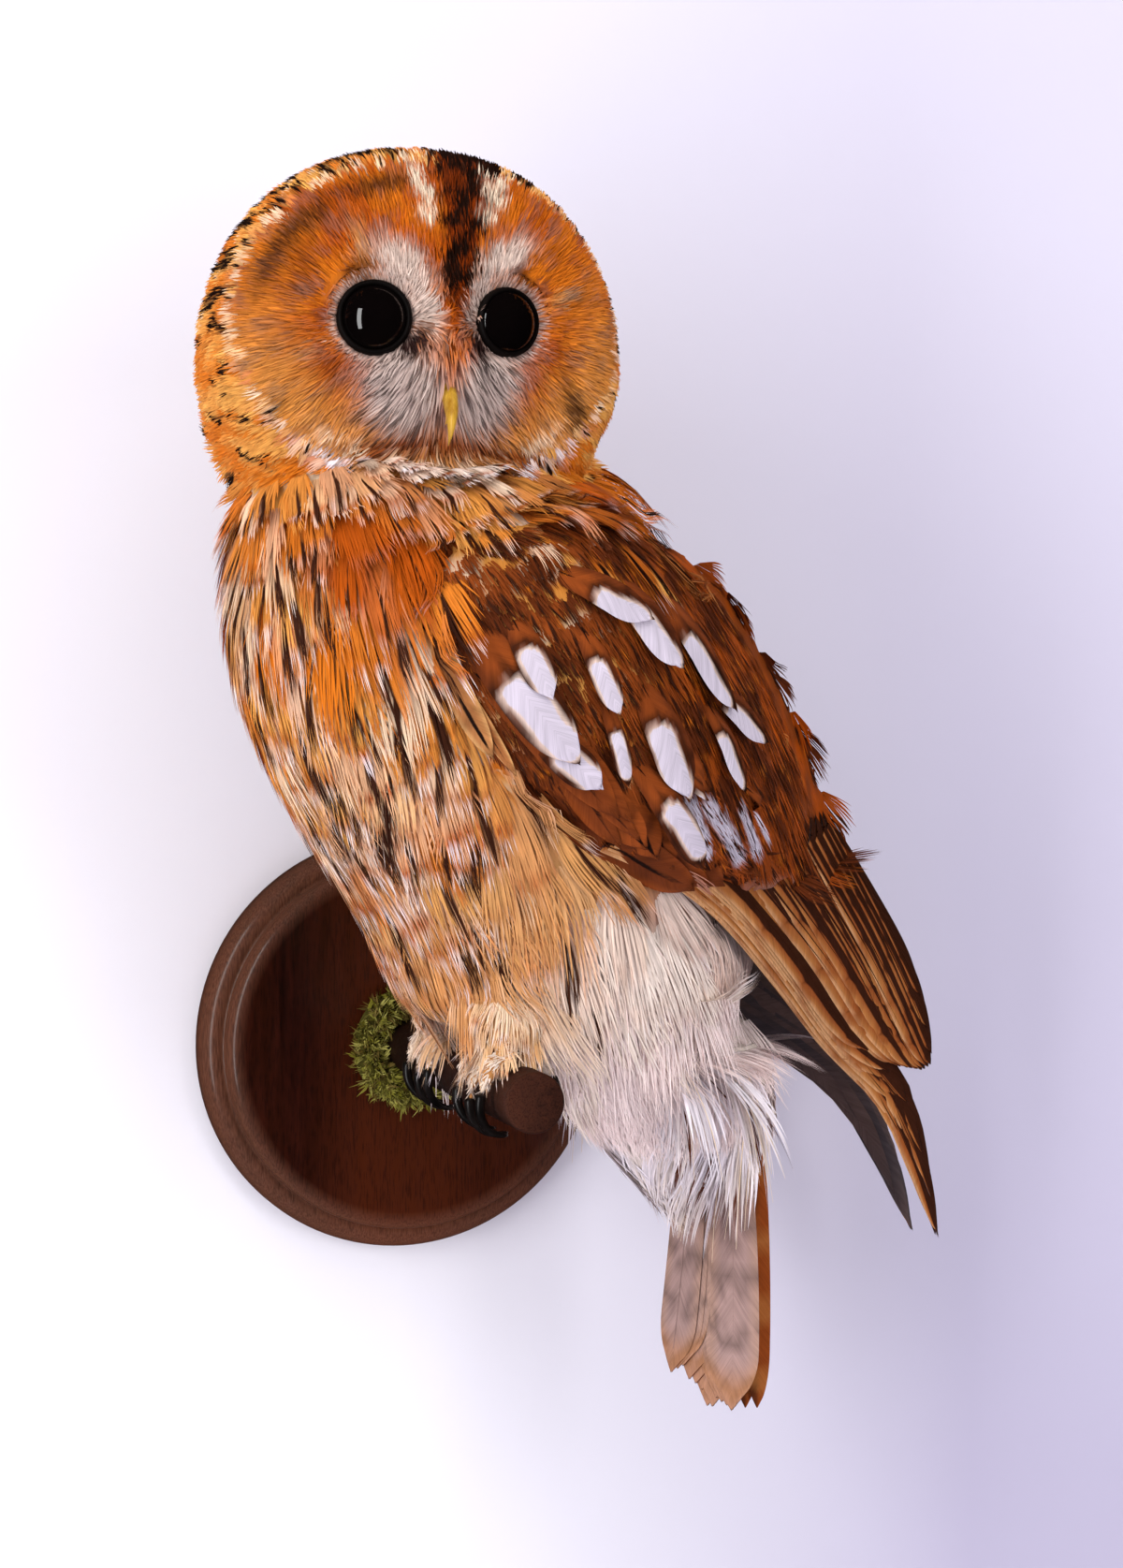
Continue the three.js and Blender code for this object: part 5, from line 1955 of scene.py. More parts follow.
WING_ROWS = (
    Row(((49, 43, 126), (47, 44, 121)), ((30, 47, 90), (24, 48, 86)), 2, 3.6, 0.6,
        Pattern(edge=Tint.SAND, streak=0.12, bars=0.5)),
    Row(((22, 50, 84), (-2, 50, 76)), ((-38, 47, 53), (-60, 43, 58)), 5, 7.0, 0.5,
        Pattern(Tint.WING_DARK, Tint.WING, streak=0.08, bars=0.35)),
    Row(((49, 43, 140), (47, 45, 133)), ((-6, 50, 65), (-9, 51, 70)), 2, 5.6, 1.0,
        Pattern(Tint.WING_DARK, Tint.WING, streak=0.1, bars=0.5)),
    Row(((45, 47, 126), (38, 49, 114)), ((-4, 53, 76), (-12, 53, 72)), 3, 6.0, 1.3,
        Pattern(Tint.WING_DARK, Tint.WING, streak=0.12)),
    Row(((12, 53, 92), (-72, 28, 84)), ((-14, 53, 64), (-98, 20, 60)), 13, 5.6, 0.8,
        Pattern(edge=Tint.WING, streak=0.14, bars=0.6)),
)
COVERT_ROWS = (
    Row(((26, 54, 106), (-66, 26, 106)), ((6, 54, 82), (-88, 24, 82)), 14, 5.6, 0.7,
        Pattern(streak=0.14, bars=0.5)),
    Row(((38, 50, 120), (-54, 28, 124)), ((24, 54, 100), (-76, 26, 100)), 14, 5.2, 0.9, Pattern(streak=0.16)),
    Row(((6, 54, 148), (-36, 46, 122)), ((-8, 56, 122), (-54, 50, 93)), 9, 5.4, 0.9,
        Pattern(edge=Tint.ORANGE)),
    Row(((-4, 50, 154), (-52, 32, 120)), ((-24, 54, 126), (-74, 28, 86)), 8, 5.8, 0.7,
        Pattern(edge=Tint.ORANGE, pale=0.4, streak=0.26, bars=0.5)),
    Row(((-26, 42, 152), (-50, 28, 134)), ((-52, 38, 122), (-76, 24, 98)), 5, 5.8, 0.6,
        Pattern(streak=0.26, bars=0.5)),
)


@dataclass
class PatchedCoverts(Rows):
    """Single coverts, each with one of the wing's white patches on its outer web."""

    def build(self, skin: Skin, material: Material) -> Object:
        """Builds the coverts of both wings."""
        random = np.random.default_rng(self.seed)
        weave = Weave()
        lines = np.array(WING_SPOTS)
        start, end, wide = lines[:, :2], lines[:, 2:4], lines[:, 4:]
        way = end - start
        web = np.column_stack([way[:, 1], -way[:, 0]]) / np.linalg.norm(way, axis=1, keepdims=True)
        web = web * np.sign(web[:, 1:]) * wide * 0.75
        roots, tips = start - 1.15 * way + web, end + 0.35 * way + 0.6 * web
        for side in self.sides:
            ends = [skin.beside(place, side) for place in (roots, tips)]
            quills, spines = drape(skin, *ends, 9, np.where(start[:, 1] < 80, 5.0, 2.8)[:, None, None])
            quills.half = wide[:, 0] * random.uniform(1.8, 2.0, len(wide))
            plan = Pattern(edge=Tint.WING_DARK, bars=0.6).plan(len(lines), random)
            self.vane.grow(weave, spines, quills, self.brush(plan, lines), random)
            shafts(weave, spines, quills, Tint.UMBER.rgb, 0.2)
        return weave.write(self.name, material, self.slot)

    def brush(self, plan: Plan, lines: Array) -> Brush:
        """Gives a brush that lays each covert's patch over its pattern."""
        line = [column[:, None, None] for column in lines.T]

        def paint(a: Array, t: Array, points: Array, phase: Array) -> tuple[Array, Array]:
            """Colours places on the feathers."""
            ground, mark = plan.paint(a, t, points, phase)
            ground = blend(ground, mark[..., :3], mark[..., 3])
            near = near_line(points, line) + 0.12 * wave_noise(points, 5.0, 43)
            # dark ring round each patch: partly the feather's dark border, partly painted shadow at the
            # patch's edge
            ground = blend(ground, Tint.UMBER, 0.8 * bump_at(near, 1.75, 0.45))
            ground = blend(ground, Tint.BROW, ramp(1.5, 1.1, near))
            white = np.broadcast_to(Tint.PATCH.rgb, ground.shape)
            return ground, np.concatenate([white, 0.9 * ramp(1.35, 0.9, near)[..., None]], -1)
        return paint


@dataclass
class Undertail(Rows):
    """Long white coverts with dark shafts below the root of the tail."""

    count: int = 72
    length: float = 46.0
    foremost: float = -48.0  # no covert is rooted in front of this, over the rod

    def build(self, skin: Skin, material: Material) -> Object:
        """Builds the coverts."""
        random = np.random.default_rng(self.seed)
        count = self.count
        bearing = random.uniform(-110, 150, count) * math.pi / 180
        height = np.sort(random.uniform(-34, 14, count))
        centre = np.interp(height, [-50, -24, 6], [-73, -64, -60])
        along = np.minimum(centre + 28 * np.cos(bearing), self.foremost)
        aim = np.column_stack([along, 30 * np.sin(bearing), height])
        root, normal = skin.nearest(aim)
        way = np.column_stack([-0.30 * np.cos(bearing), -0.15 * np.sin(bearing), np.full(count, -0.95)])
        length = self.length * random.uniform(0.8, 1.1, count) * (0.72 + 0.28 * ramp(-40, -5, height))
        quills = Quills(root, normal, tangent(unit(way), normal), length, random.uniform(4.5, 6.5, count))
        spines = lay(skin, quills, 7, 0.7, (0.0, 0.0, -0.3))
        ground = blend(Tint.WHITE, Tint.WARM_WHITE, random.random(count)) * 0.9
        streak = np.where(random.random(count) < 0.6, random.uniform(0.07, 0.14, count), 0.0)
        plan = Plan(ground, Tint.WHITE, Tint.WHITE, Tint.WING_DARK, Tint.SAND, streak=streak)
        weave = Weave()
        soft = Fan(blades=19, levels=6, blade=0.95, start=0.0, end=3.0, rootspread=0.3, ragged=0.3, sway=0.9)
        soft.grow(weave, spines, quills, plan.paint, random)
        shafts(weave, spines, quills, Tint.CREAM.rgb, 0.25)
        return weave.write(self.name, material, self.slot)


# ---- hard pieces --------------------------------------------------------------------------

def finish_piece(mesh: BMesh, name: str, material: Material,
                 replaces: Sequence[str] = ()) -> Object:
    """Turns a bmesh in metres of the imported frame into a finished, smooth-shaded piece.

    Args:
        mesh: the modelled shape; it is freed.
        name: the piece's name.
        material: its material.
        replaces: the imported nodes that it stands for.

    Returns:
        The piece.
    """
    bmesh.ops.recalc_face_normals(mesh, faces=mesh.faces)
    piece = from_bmesh(name, mesh)
    data = piece.data
    data.polygons.foreach_set("use_smooth", [True] * len(data.polygons))
    data.materials.append(material)
    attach(piece, BODY)
    if replaces:
        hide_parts(*replaces)
    LOG.info("%s: %d triangles", name, sum(len(face.vertices) - 2 for face in data.polygons))
    return piece


def turned_shape(profile: Sequence[tuple[float, float]], axes: Axes, segments: int) -> BMesh:
    """Turns a profile about an axis.

    Args:
        profile: radius and place along the axis of each of its points, in mm.
        axes: a frame in world millimetres whose +Y is the axis.
        segments: steps round the axis.

    Returns:
        The turned shape, in metres.
    """
    mesh = bmesh.new()
    matrix = Matrix(axes.matrix.tolist()).to_4x4()
    matrix.translation = Vector(axes.origin)
    scaled = Matrix.Scale(MM, 4) @ matrix
    verts = [mesh.verts.new(scaled @ Vector((radius, along, 0.0))) for radius, along in profile]
    edges = [mesh.edges.new(pair) for pair in zip(verts, verts[1:])]
    axis = (scaled.to_3x3() @ Vector((0, 1, 0))).normalized()
    bmesh.ops.spin(mesh, geom=verts + edges, cent=scaled.translation, axis=axis, angle=2 * math.pi,
                   steps=segments, use_merge=True)
    bmesh.ops.remove_doubles(mesh, verts=mesh.verts, dist=2e-6)
    return mesh


def horn(path: Callable[[Array], Array], radii: Callable[[Array], Array], axes: Axes, around: int,
         along: int) -> BMesh:
    """Bends a sphere along a path into a tapering horn.

    Args:
        path: gives the middle at fractions from 0 to 1.
        radii: gives the half width and half depth there.
        axes: the frame that the path is given in, within the owl's frame.
        around: segments round the horn.
        along: rings along it.

    Returns:
        The horn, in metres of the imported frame.
    """
    mesh = bmesh.new()
    bmesh.ops.create_uvsphere(mesh, u_segments=around, v_segments=along, radius=1.0)
    co = np.array([v.co for v in mesh.verts])
    t = np.arccos(np.clip(co[:, 2], -1, 1)) / math.pi
    ring = unit(np.column_stack([co[:, 0], co[:, 1]])) * (np.hypot(co[:, 0], co[:, 1]) > 1e-4)[:, None]
    middle = path(t)
    ahead = unit(path(np.minimum(t + 0.01, 1)) - path(np.maximum(t - 0.01, 0)))
    side = unit(np.cross(ahead, np.array([0.0, 1.0, 0.0]) + 1e-6))
    over = np.cross(side, ahead)
    size = radii(t)
    points = middle + side * (ring[:, :1] * size[:, :1]) + over * (ring[:, 1:] * size[:, 1:])
    for vertex, place in zip(mesh.verts, to_metres(axes.outward(points))):
        vertex.co = place
    return mesh


@dataclass(frozen=True)
class GlassEyeFinish:
    """Taxidermist's glass eye: black, wet-bright, with the faintest brown in the depth."""

    def make(self) -> Material:
        """Builds the node material."""
        graph = Graph("glass_eye")
        depths = graph.tint(graph.noise(graph.place(), 90.0), "030203", "0a0605")
        return graph.done({"Base Color": depths, "Roughness": 0.04, "Specular IOR Level": 0.4})


@dataclass(frozen=True)
class HornFinish:
    """Keratin horn of bill, claws and lids: smooth, fibrous along its length, a soft gloss."""

    name: str
    dark: str
    light: str
    roughness: float = 0.35
    fibre: float = 0.5  # mm
    gloss: float = 0.5

    def make(self) -> Material:
        """Builds the node material."""
        graph = Graph(self.name)
        where = graph.place()
        fibre = graph.noise(graph.stretch(where, (1, 1, 0.2)), 1 / (self.fibre * MM), 3.0)
        amount = graph.spread(graph.mean(0.35, graph.noise(where, 0.18 / MM), fibre), 0.35, 0.65)
        return graph.done({"Base Color": graph.tint(amount, self.dark, self.light),
                           "Normal": graph.bump(fibre, 0.15, 0.1), "Roughness": self.roughness,
                           "Specular IOR Level": self.gloss})


@dataclass(frozen=True)
class WoodFinish:
    """Varnished or bare wood, with growth rings drawn round a pith that lies outside the board.

    The board is cut along its grain, so that the rings show as long lines up the face.
    """

    name: str
    dark: str
    middle: str
    light: str
    grain_along: tuple[float, float, float]  # how much the grain is stretched on each axis
    ring: float = 2.6  # mm between growth rings
    roughness: float = 0.45
    varnish: float = 0.0
    pore: float = 0.35
    gloss: float = 0.1
    worn: float = 0.0  # strength of the paler ring on the mouldings: dust with a painted highlight
    worn_at: float = 54.0  # mm from the middle of the board

    def make(self) -> Material:
        """Builds the node material."""
        graph = Graph(self.name)
        where = graph.place()
        grain = graph.stretch(where, self.grain_along)
        rings = graph.noise(grain, 1 / (self.ring * MM), 4.0, Roughness=0.65, Distortion=0.4)
        pores = graph.noise(grain, 1 / (self.pore * MM))
        clouds = graph.noise(grain, 0.02 / MM)
        lines = graph.tint(graph.spread(rings, 0.32, 0.68), self.dark, self.middle)
        board = graph.tint(graph.spread(clouds, 0.4, 0.62), lines, self.light)
        flecks = graph.spread(pores, 0.36, 0.5, 0.55, 1.0)
        board = graph.add("VectorMath", {"operation": "SCALE", 0: board, "Scale": flecks})
        flat = graph.add("VectorMath", {"operation": "MULTIPLY", 0: where, 1: (1.0, 0.0, 1.0)})
        away = graph.add("VectorMath", {"operation": "LENGTH", 0: flat}, "Value")
        # a paler ring round the moulding: dust with a painted highlight
        rim = graph.spread(away, (self.worn_at - 4) * MM, (self.worn_at + 1) * MM, 0.0, self.worn)
        dust_and_highlight_mask = graph.add("Math", {"operation": "MULTIPLY", 0: rim, 1: pores})
        return graph.done({
            "Base Color": graph.tint(dust_and_highlight_mask, board, "a06a50"), "Normal": graph.bump(pores, 0.2, 0.15),
            "Roughness": graph.spread(rings, 0.3, 0.7, self.roughness - 0.08, self.roughness + 0.12),
            "Specular IOR Level": self.gloss, "Coat Weight": self.varnish, "Coat Roughness": 0.16})


@dataclass
class Eyes:
    """Two glass eyes with black lids round them."""

    lid: tuple[tuple[float, float], ...] = (  # section of an open lid: radius, and height over the middle
        (8.3, 6.2), (8.5, 7.1), (8.9, 7.5), (9.4, 7.3), (9.8, 6.4), (10.0, 4.9))

    def build(self, glass: Material, horn_skin: Material) -> None:
        """Builds the eyes and the lids."""
        for side, name in ((1, "right"), (-1, "left")):
            local = eye_frame(side)
            axes = Axes(OWL.outward(HEAD.outward(local.origin)), OWL.matrix @ HEAD.matrix @ local.matrix)
            ball = bmesh.new()
            place = Matrix(axes.matrix.tolist()).to_4x4()
            place.translation = Vector(axes.origin * MM)
            bmesh.ops.create_uvsphere(ball, u_segments=48, v_segments=28, radius=EYE_RADIUS * MM,
                                      matrix=place)
            finish_piece(ball, f"glass_eye_{name}", glass, [f"eye_{name}"])
            lid = [(radius * EYE_OPEN[side], height) for radius, height in self.lid]
            finish_piece(turned_shape(lid, axes, 48), f"eyelid_{name}", horn_skin)


@dataclass
class Bill:
    """The hooked bill: an upper half that closes over a lower one."""

    root: tuple[float, float, float] = (0.0, 36.5, -8.5)  # in the head's frame
    length: float = 20.3
    width: float = 3.8
    depth: float = 5.6
    lean: float = 2.4  # how far the tip stands to the owl's right of the root
    lower_length: float = 12.0
    drop: float = 2.6  # how far the lower half lies under the upper one

    def half(self, length: float, width: float, depth: float, drop: float) -> BMesh:
        """Builds one half of the bill."""
        def path(t: Array) -> Array:
            """Gives the middle of the horn."""
            return np.column_stack([self.root[0] + self.lean * (t - 0.45),
                                    self.root[1] + 6.8 * np.sin(t * 2.3) - drop * 0.9 - 7.0 * (1 - t) ** 2,
                                    self.root[2] - drop - length * t])

        def radii(t: Array) -> Array:
            """Gives the horn's half sizes."""
            size = np.sin(math.pi * (0.16 + 0.84 * t) ** 0.8)
            return np.column_stack([width / 2 * size, depth / 2 * size])
        return horn(path, radii, HEAD, 32, 26)

    def build(self, material: Material) -> None:
        """Builds both halves."""
        upper = self.half(self.length, self.width, self.depth, 0.0)
        finish_piece(upper, "upper_bill", material, ["bill_upper"])
        lower = self.half(self.lower_length, self.width * 0.75, self.depth * 0.6, self.drop)
        finish_piece(lower, "lower_bill", material, ["bill_lower"])


@dataclass(frozen=True)
class Toe:
    """One toe's place on the rod."""

    name: str
    way: int  # 1 in front of the rod, -1 behind it
    along: float  # place along the rod at the foot, outwards from its middle
    splay: float  # how much further out the claw stands
    wrap: float  # degrees from the top of the rod to the root of the claw


@dataclass
class Claws:
    """Eight black talons round the rod."""

    foot_spread: float = 27.0
    reach: float = 12.0
    radius: float = 1.5
    tip_radius: float = 0.3
    wrap: float = 74.0
    toes: tuple[Toe, ...] = (Toe("inner", 1, -5.6, -5.5, 92), Toe("middle", 1, 0, 0.5, 100),
                             Toe("outer", 1, 5.6, 6.5, 88), Toe("hind", -1, 0.5, -2, 78))

    def build(self, material: Material) -> None:
        """Builds each foot's talons as one piece."""
        for side, name in ((1, "left"), (-1, "right")):
            claws = joined(self.claw(toe, side) for toe in self.toes)
            finish_piece(claws, f"talons_{name}", material,
                         [f"claw_{name}_{toe.name}" for toe in self.toes])

    def claw(self, toe: Toe, side: int) -> BMesh:
        """Builds one talon."""
        axes = Axes(ROD_OUT * side * self.foot_spread, np.column_stack([ROD_FRONT, ROD_OUT, (0.0, 0.0, 1.0)]))

        def path(t: Array) -> Array:
            """Gives the middle of the talon in the rod's frame."""
            angle = np.radians(toe.wrap - 8 + (self.wrap + 8) * t)
            reach = self.reach + 1.6 * np.sin(math.pi * t) - 1.4 * t
            return np.column_stack([toe.way * reach * np.sin(angle), toe.along + toe.splay * np.sin(angle),
                                    reach * np.cos(angle)])

        def radii(t: Array) -> Array:
            """Gives the talon's half sizes, round at the root and sharp at the tip."""
            root = np.sqrt(np.clip(1 - (1 - t / 0.06) ** 2, 0, 1)) * (t < 0.06) + (t >= 0.06)
            size = (self.tip_radius + (self.radius - self.tip_radius) * np.sqrt(1 - t)) * root
            return np.column_stack([size, size])
        return horn(path, radii, axes, 14, 18)


PLAQUE_THICK = 17.0


@dataclass
class Mount:
    """The turned plaque and the perch rod that stands out of it."""

    radius: float = 62.2
    thick: float = PLAQUE_THICK
    panel: float = 51.0  # radius of the raised panel
    bead: float = 55.6  # radius of the moulding round it
    band: float = 10.4  # thickness of the outer band
    rod_radius: float = 8.2
    rod_end: float = 146.5
    chamfer: float = 0.8

    def plaque(self, material: Material) -> Object:
        """Turns the plaque: a rounded band, a step and a raised panel."""
        outer = self.arc((self.radius, self.band - 5.5), (self.bead + 1, self.band))
        inner = self.arc((self.bead, self.thick - 3.6), (self.panel, self.thick))
        profile = [(0, 0), (self.radius - 1, 0), (self.radius, 1), *outer, (self.bead, self.band - 0.4),
                   *inner, (0, self.thick)]
        turned_board = turned_shape(profile, self.axes(), 128)
        return finish_piece(turned_board, "plaque", material, ["plaque_board"])

    def rod(self, material: Material) -> Object:
        """Turns the rod with a broken edge at its end."""
        radius, end = self.rod_radius, self.rod_end
        edge = self.arc((radius, end - self.chamfer), (radius - self.chamfer, end))
        turned_rod = turned_shape([(0, self.thick), (radius, self.thick), *edge, (0, end)], self.axes(), 72)
        return finish_piece(turned_rod, "perch", material, ["perch_rod"])

    def axes(self) -> Axes:
        """Gives the frame whose +Y runs out of the wall."""
        return Axes(np.zeros(3), turned("Z", 180.0))

    def arc(self, start: tuple[float, float], end: tuple[float, float], steps: int = 8) -> list:
        """Gives a quarter of an ellipse from the outer side to the face."""
        angles = [math.pi / 2 * i / steps for i in range(steps + 1)]
        return [(end[0] + (start[0] - end[0]) * math.cos(a), start[1] + (end[1] - start[1]) * math.sin(a))
                for a in angles]


@dataclass
class Moss:
    """A ring of dry moss round the foot of the rod."""

    ring: float = 13.6
    half_width: float = 4.9
    height: float = 6.5
    sprigs: int = 1500
    seed: int = 500

    def build(self, material: Material) -> Object:
        """Builds the cushion and the sprigs on it."""
        random = np.random.default_rng(self.seed)
        weave = Weave()
        self.cushion(weave)
        count = self.sprigs
        bearing = random.uniform(0, 2 * math.pi, count)
        lane = random.uniform(-1, 1, count)
        root, normal = self.on_ring(bearing, lane)
        way = unit(normal + random.normal(0, 0.75, (count, 3)))
        length = random.uniform(1.8, 4.6, count)
        quills = Quills(root, normal, way, length, np.full(count, 0.7))
        s = np.linspace(0, 1, 4)[None, :, None]
        curl = random.normal(0, 0.35, (count, 1, 3))
        long = length[:, None, None]
        places = root[:, None] + way[:, None] * long * s + curl * long * s ** 2
        across = unit(np.cross(way, random.normal(size=(count, 3))))
        spread = lambda v: np.repeat(v[:, None], 4, 1)
        spines = Spines(places, spread(unit(np.cross(across, way))), spread(across))
        fan = Fan(blades=3, levels=4, blade=0.5, start=0.0, end=0.3, rootspread=0.1, closing=0.0, sway=0.4)
        tint = blend(linear("74701e"), linear("b5ad5c"), random.random(count))
        tint = blend(tint, linear("5a4222"), 0.8 * (random.random(count) < 0.25))
        fan.grow(weave, spines, quills, plain_brush(tint), random)
        piece = weave.write("moss", material, "dried_moss")
        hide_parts("moss_ring")
        return piece

    def on_ring(self, bearing: Array, lane: Array) -> tuple[Array, Array]:
        """Gives places on the cushion, in the owl's frame, with the way out of it."""
        lump = 1 + 0.16 * np.sin(5 * bearing) * np.cos(3 * bearing + 1) + 0.08 * np.sin(13 * bearing)
        tall = self.height * np.sqrt(np.clip(1 - (0.96 * lane) ** 2, 0, 1)) * lump * 0.82
        radius = self.ring + lane * self.half_width * 0.92 * (0.8 + 0.2 * lump)
        world = np.stack([radius * np.cos(bearing), -PLAQUE_THICK - tall, radius * np.sin(bearing)], -1)
        out = np.stack([lane * np.cos(bearing), -np.sqrt(np.clip(1.05 - lane ** 2, 0, 1)),
                        lane * np.sin(bearing)], -1)
        return OWL.inward(world), OWL.turn_in(unit(out))

    def cushion(self, weave: Weave) -> None:
        """Adds the lumpy ring that the sprigs stand on."""
        rounds, lanes = 96, 12
        bearing, lane = np.meshgrid(np.linspace(0, 2 * math.pi, rounds), np.linspace(-1, 1, lanes),
                                    indexing="ij")
        points, _ = self.on_ring(bearing, lane)
        i, j = np.meshgrid(np.arange(rounds - 1), np.arange(lanes - 1), indexing="ij")
        first = i * lanes + j
        quads = np.stack([first, first + lanes, first + lanes + 1, first + 1], -1)
        ground = np.broadcast_to(linear("4a451a"), points.shape)
        vane = np.stack([bearing * self.ring * 0.1, lane * 0.5], -1)
        bake = np.stack([0.02 + 0.9 * bearing / (2 * math.pi), 0.02 + 0.04 * (lane + 1)], -1)
        weave.add(points, quads, *unmarked(ground), vane, bake)


# ---- studio -------------------------------------------------------------------------------

@dataclass
class Studio:
    """A pale wall and floor with soft lights from both sides and above."""

    wall: float = 0.0006
    floor: float = -0.6
    size: float = 6.0

    def build(self) -> None:
        """Builds the stage, the lights and the world."""
        wall = self.sheet("wall", (0, self.wall, 0.6), 90)
        wall.data.materials.append(self.wall_paint())
        floor = self.sheet("floor", (0, self.wall - self.size / 2, self.floor), 0)
        floor.data.materials.append(self.floor_paint())
        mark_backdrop(wall, floor)
        self.light("key", (-1.22, -1.02, 0.22), (0.32, 1.5), 15.5)
        fill = self.light("fill", (0.8, -1.4, 0.3), (0.5, 1.2), 8.0)
        top = self.light("top", (-0.1, -0.75, 1.25), (1.4, 1.0), 13.0)
        for unseen in (wall, floor, fill, top):  # the glass eyes mirror nothing but the key light
            unseen.visible_glossy = False
        self.world()

    def sheet(self, name: str, place: tuple[float, float, float], tilt: float) -> Object:
        """Makes a large flat square, tilted about X by some degrees."""
        mesh = bmesh.new()
        matrix = Matrix.Translation(place) @ Matrix.Rotation(math.radians(tilt), 4, "X")
        bmesh.ops.create_grid(mesh, x_segments=1, y_segments=1, size=self.size / 2, matrix=matrix)
        return from_bmesh(name, mesh)

    def wall_paint(self) -> Material:
        """Gives matt near-white paint that darkens and cools towards the lower right as painted shade, and is
        clear from behind.
        """
        graph = Graph("wall_paint")
        parts = add_node(graph.tree, "SeparateXYZ", {0: graph.place()})
        # painted shade: from near-white at the upper left to grey-lilac at the lower right
        across = graph.spread(parts.outputs["X"], -0.25, 0.16)
        aside = graph.spread(parts.outputs["X"], 0.0, 0.19)
        down = graph.spread(parts.outputs["Z"], 0.25, -0.15)
        paint = graph.tint(down, graph.tint(across, "fbfafc", "d9d4e4"),
                           graph.tint(aside, "fbf9fd", "c0bad0"))
        from_behind = graph.add("NewGeometry", {}, "Backfacing")
        either = graph.add("MixShader", {0: from_behind, 1: graph.shader.outputs[0],
                                         2: graph.add("BsdfTransparent", {})})
        feed(graph.tree, graph.output, {"Surface": either})
        return graph.done({"Base Color": paint, "Roughness": 0.9, "Specular IOR Level": 0.1})

    def floor_paint(self) -> Material:
        """Gives plain pale paint."""
        graph = Graph("floor_paint")
        paint = graph.tint(graph.noise(graph.place(), 2.0), "e8e5f0", "efedf5")
        return graph.done({"Base Color": paint, "Roughness": 0.8})

    def light(self, name: str, place: tuple[float, float, float], size: tuple[float, float],
              power: float) -> Object:
        """Hangs a soft rectangular light that points at the owl."""
        data = bpy.data.lights.new(name, "AREA")
        data.shape = "RECTANGLE"
        data.size, data.size_y = size
        data.energy = power
        lamp = add_object(name, data)
        aim = Vector((0.0, -0.1, 0.08)) - Vector(place)
        lamp.rotation_euler = aim.to_track_quat("-Z", "Y").to_euler()
        lamp.location = place
        return lamp

    def world(self) -> None:
        """Gives soft light from everywhere and a pale backdrop to the camera."""
        world = bpy.data.worlds.new("studio")
        bpy.context.scene.world = world
        world.use_nodes = True
        tree = world.node_tree
        tree.nodes.clear()
        path = add_node(tree, "LightPath", {})
        seen = add_node(tree, "Background", {"Color": rgba("f1eff6"), "Strength": 1.0})
        matt = add_node(tree, "Math", {"operation": "MULTIPLY", 0: path.outputs["Is Diffuse Ray"], 1: 0.3})
        glow = add_node(tree, "Background", {"Color": rgba("f4f2ff"), "Strength": matt.outputs[0]})
        either = add_node(tree, "MixShader", {0: path.outputs["Is Camera Ray"], 1: glow.outputs[0],
                                              2: seen.outputs[0]})
        add_node(tree, "OutputWorld", {"Surface": either.outputs[0]})


def set_camera() -> None:
    """Sets the camera straight at the bird, a little above the rod."""
    data = bpy.data.cameras.new("camera")
    data.lens = 80.0
    data.sensor_width = 36.0
    camera = add_object("camera", data)
    camera.location = (-0.25966, -1.01932, 0.12863)
    camera.rotation_euler = (math.radians(87.2), 0.0, math.radians(-17.0))
    bpy.context.scene.camera = camera
    bpy.context.scene.view_settings.view_transform = "Standard"


TRACTS = (
    FaceTract("face_feathers", "face_feathers", 10, 1.25, 8.5, 0.9,
              Fan(blades=5, levels=4, blade=0.5, start=-0.3, end=1.4, rootspread=0.5, closing=0.1, sway=0.4)),
    CrownTract("crown_feathers", "body_feathers", 20, 3.2, 13.0, 3.6,
               Fan(blades=17, levels=5, blade=0.6, end=1.8, closing=0.0, round=0.45, ragged=0.2, twist=15)),
    BreastTract("breast_feathers", "body_feathers", 30, 7.4, 36.0, 9.4,
                Fan(blades=44, levels=8, blade=0.62, end=3.4, closing=0.0, round=0.5, ragged=0.2, twist=15,
                    sway=1.2), walk=7),
    MantleTract("mantle_feathers", "body_feathers", 40, 6.0, 26.0, 7.5,
                Fan(blades=30, levels=6, blade=0.7, end=1.8, closing=0.0, round=0.5, ragged=0.2, twist=15)),
    VentTract("vent_feathers", "body_feathers", 50, 5.6, 37.0, 8.9,
              Fan(blades=34, levels=7, blade=0.4, end=3.6, rootspread=0.6, closing=-0.1, round=0.15, sway=1.8,
                  ragged=0.4, twist=15), walk=6, cling=0.8, fall=(0.0, 0.0, -0.12)),
    LegTract("leg_feathers", "body_feathers", 60, 3.2, 17.0, 4.6,
             Fan(blades=22, levels=6, blade=0.42, end=2.2, closing=0.0, round=0.4, ragged=0.3, twist=12,
                 sway=0.9)),
    ToeTract("toe_feathers", "body_feathers", 70, 1.2, 3.6, 0.8,
             Fan(blades=4, levels=4, blade=0.45, start=-0.1, end=0.5, rootspread=0.4)),
    WingTract("wing_coverts", "body_feathers", 80, 4.6, 17.0, 4.8,
              Fan(blades=22, levels=5, blade=0.55, end=1.0, closing=0.0, round=0.5, ragged=0.18, twist=12)),
)


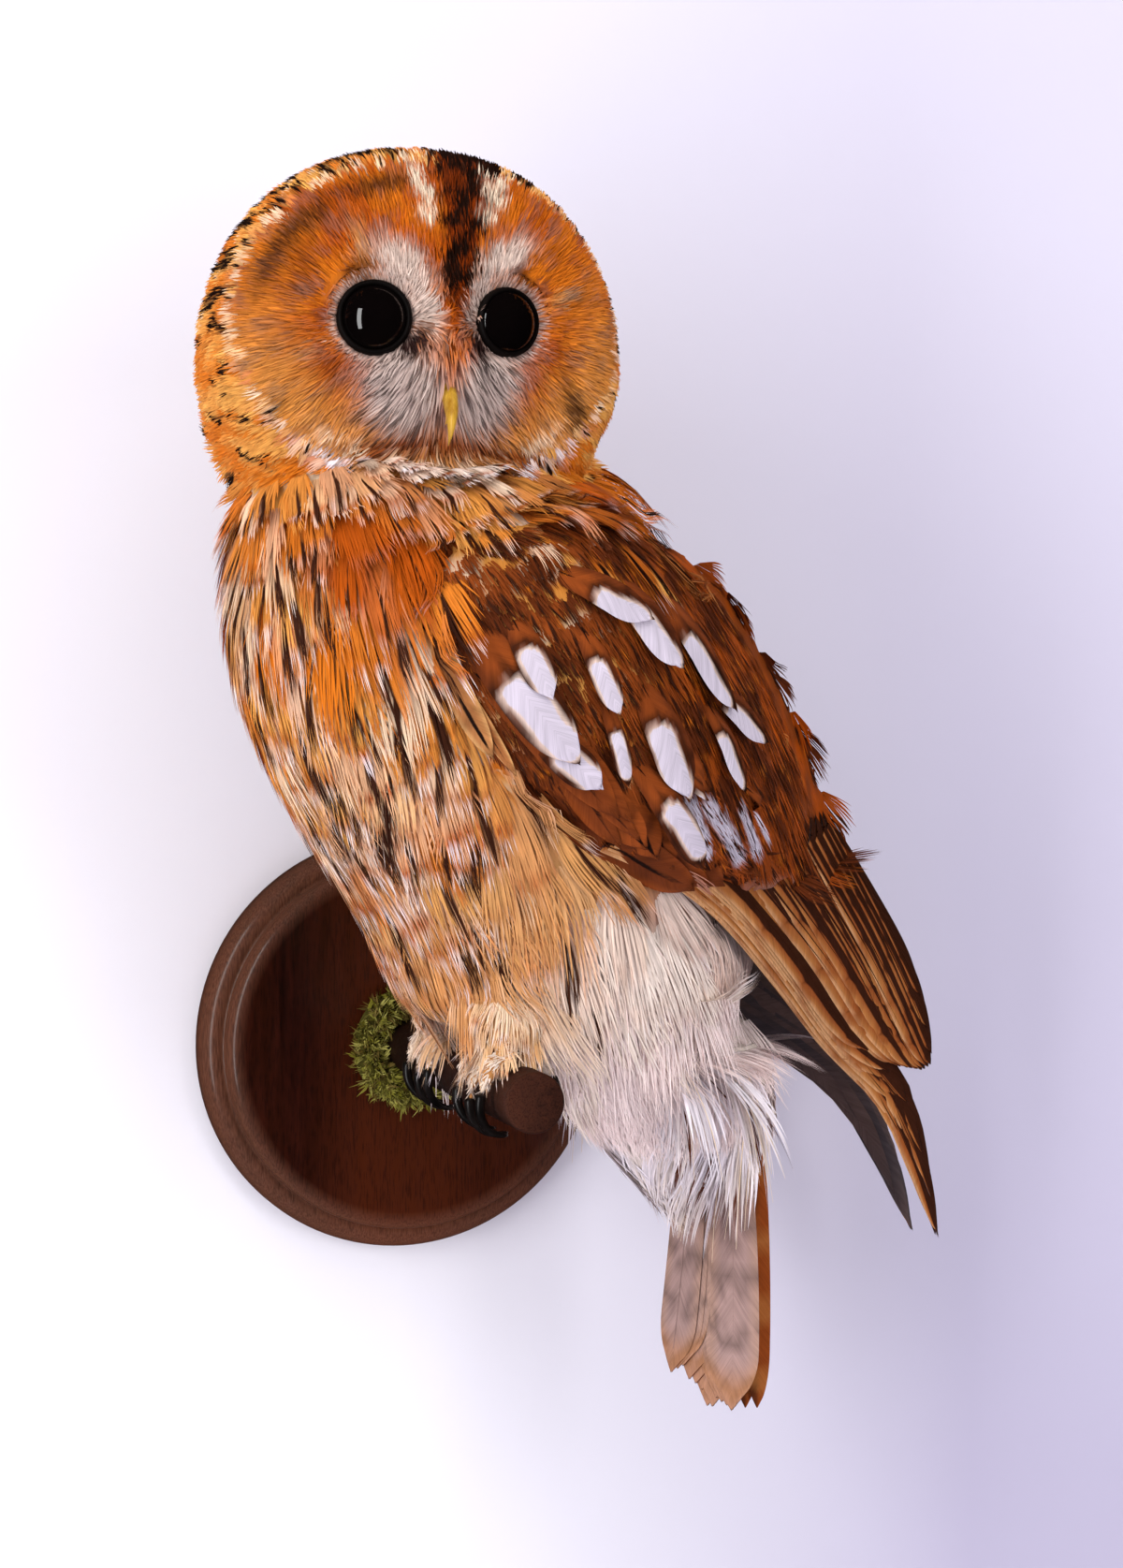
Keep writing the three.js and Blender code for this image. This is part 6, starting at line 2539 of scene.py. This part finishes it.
def main() -> None:
    """Builds the owl, its mount and the studio."""
    logging.basicConfig(level=logging.INFO, format="%(message)s")
    feather = FeatherFinish().make()
    firm = FeatherFinish("flight_keratin", barb=0.6, ragged=0.4, grain=0.3, roughness=0.5).make()
    hair = FeatherFinish("face_keratin", barb=0.3, grain=0.32, gloss=0.04, relief=0.15).make()
    skin = Skin()
    hide = skin.build()
    dress_skin(hide, skin, feather)
    for tract in TRACTS:
        tract.build(skin, hair if isinstance(tract, FaceTract) else feather)
    Rows("wing_rows", "body_feathers", 90, WING_ROWS).build(skin, firm)
    soft = Fan(blades=28, levels=7, blade=0.6, start=-0.4, end=1.2, rootspread=0.45, closing=0.0, ragged=0.12,
               camber=0.4, twist=15)
    Rows("covert_rows", "body_feathers", 92, COVERT_ROWS, vane=soft).build(skin, feather)
    PatchedCoverts("patched_coverts", "body_feathers", 94, ()).build(skin, feather)
    Undertail("undertail_coverts", "body_feathers", 95, ()).build(skin, feather)
    for side in (1, -1):
        FlightFeathers(side).build(firm)
    Tail().build(firm)
    lid_skin = HornFinish("lid_skin", "060403", "0e0908", 0.6, gloss=0.1).make()
    Eyes().build(GlassEyeFinish().make(), lid_skin)
    Bill().build(HornFinish("bill_horn", "96660f", "d0a238", 0.34, gloss=0.35).make())
    Claws().build(HornFinish("claw_horn", "080606", "1c1614", 0.3, gloss=0.3).make())
    mount = Mount()
    oak = WoodFinish("stained_oak", "0f0200", "300b01", "471a04", (1, 1, 0.08), varnish=0.25, worn=0.45)
    bare = WoodFinish("bare_rod", "120604", "35190f", "4a281b", (1, 1, 1), ring=1.6, roughness=0.7)
    mount.plaque(oak.make())
    mount.rod(bare.make())
    Moss().build(FeatherFinish("dried_moss", barb=0.4, grain=0.3, roughness=0.9).make())
    Studio().build()
    set_camera()
    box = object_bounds()
    LOG.info("cad %s now %s", CAD_BOX, box)
    plain_list = lambda b: [list(map(float, side)) for side in b]
    {"cad": plain_list(CAD_BOX), "visual": plain_list(box)}


def dress_skin(hide: Object, skin: Skin, material: Material) -> None:
    """Colours the skin like the coat over it, and lets it stand for the flesh solids."""
    mesh = hide.data
    corners = np.empty(len(mesh.loops), int)
    mesh.loops.foreach_get("vertex_index", corners)
    flat = unwrap(skin.points)
    down = unmarked(coat_colour(skin.points) * 0.8)
    dress_mesh(mesh, corners, *down, flat * (30, 37), flat)  # the map is about 30 x 37 cm of skin
    mesh.materials.clear()
    mesh.materials.append(material)
    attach(hide, BODY)
    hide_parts(*FLESH)
    LOG.info("skin: %d faces", len(mesh.polygons))


if __name__ == "__main__":
    main()
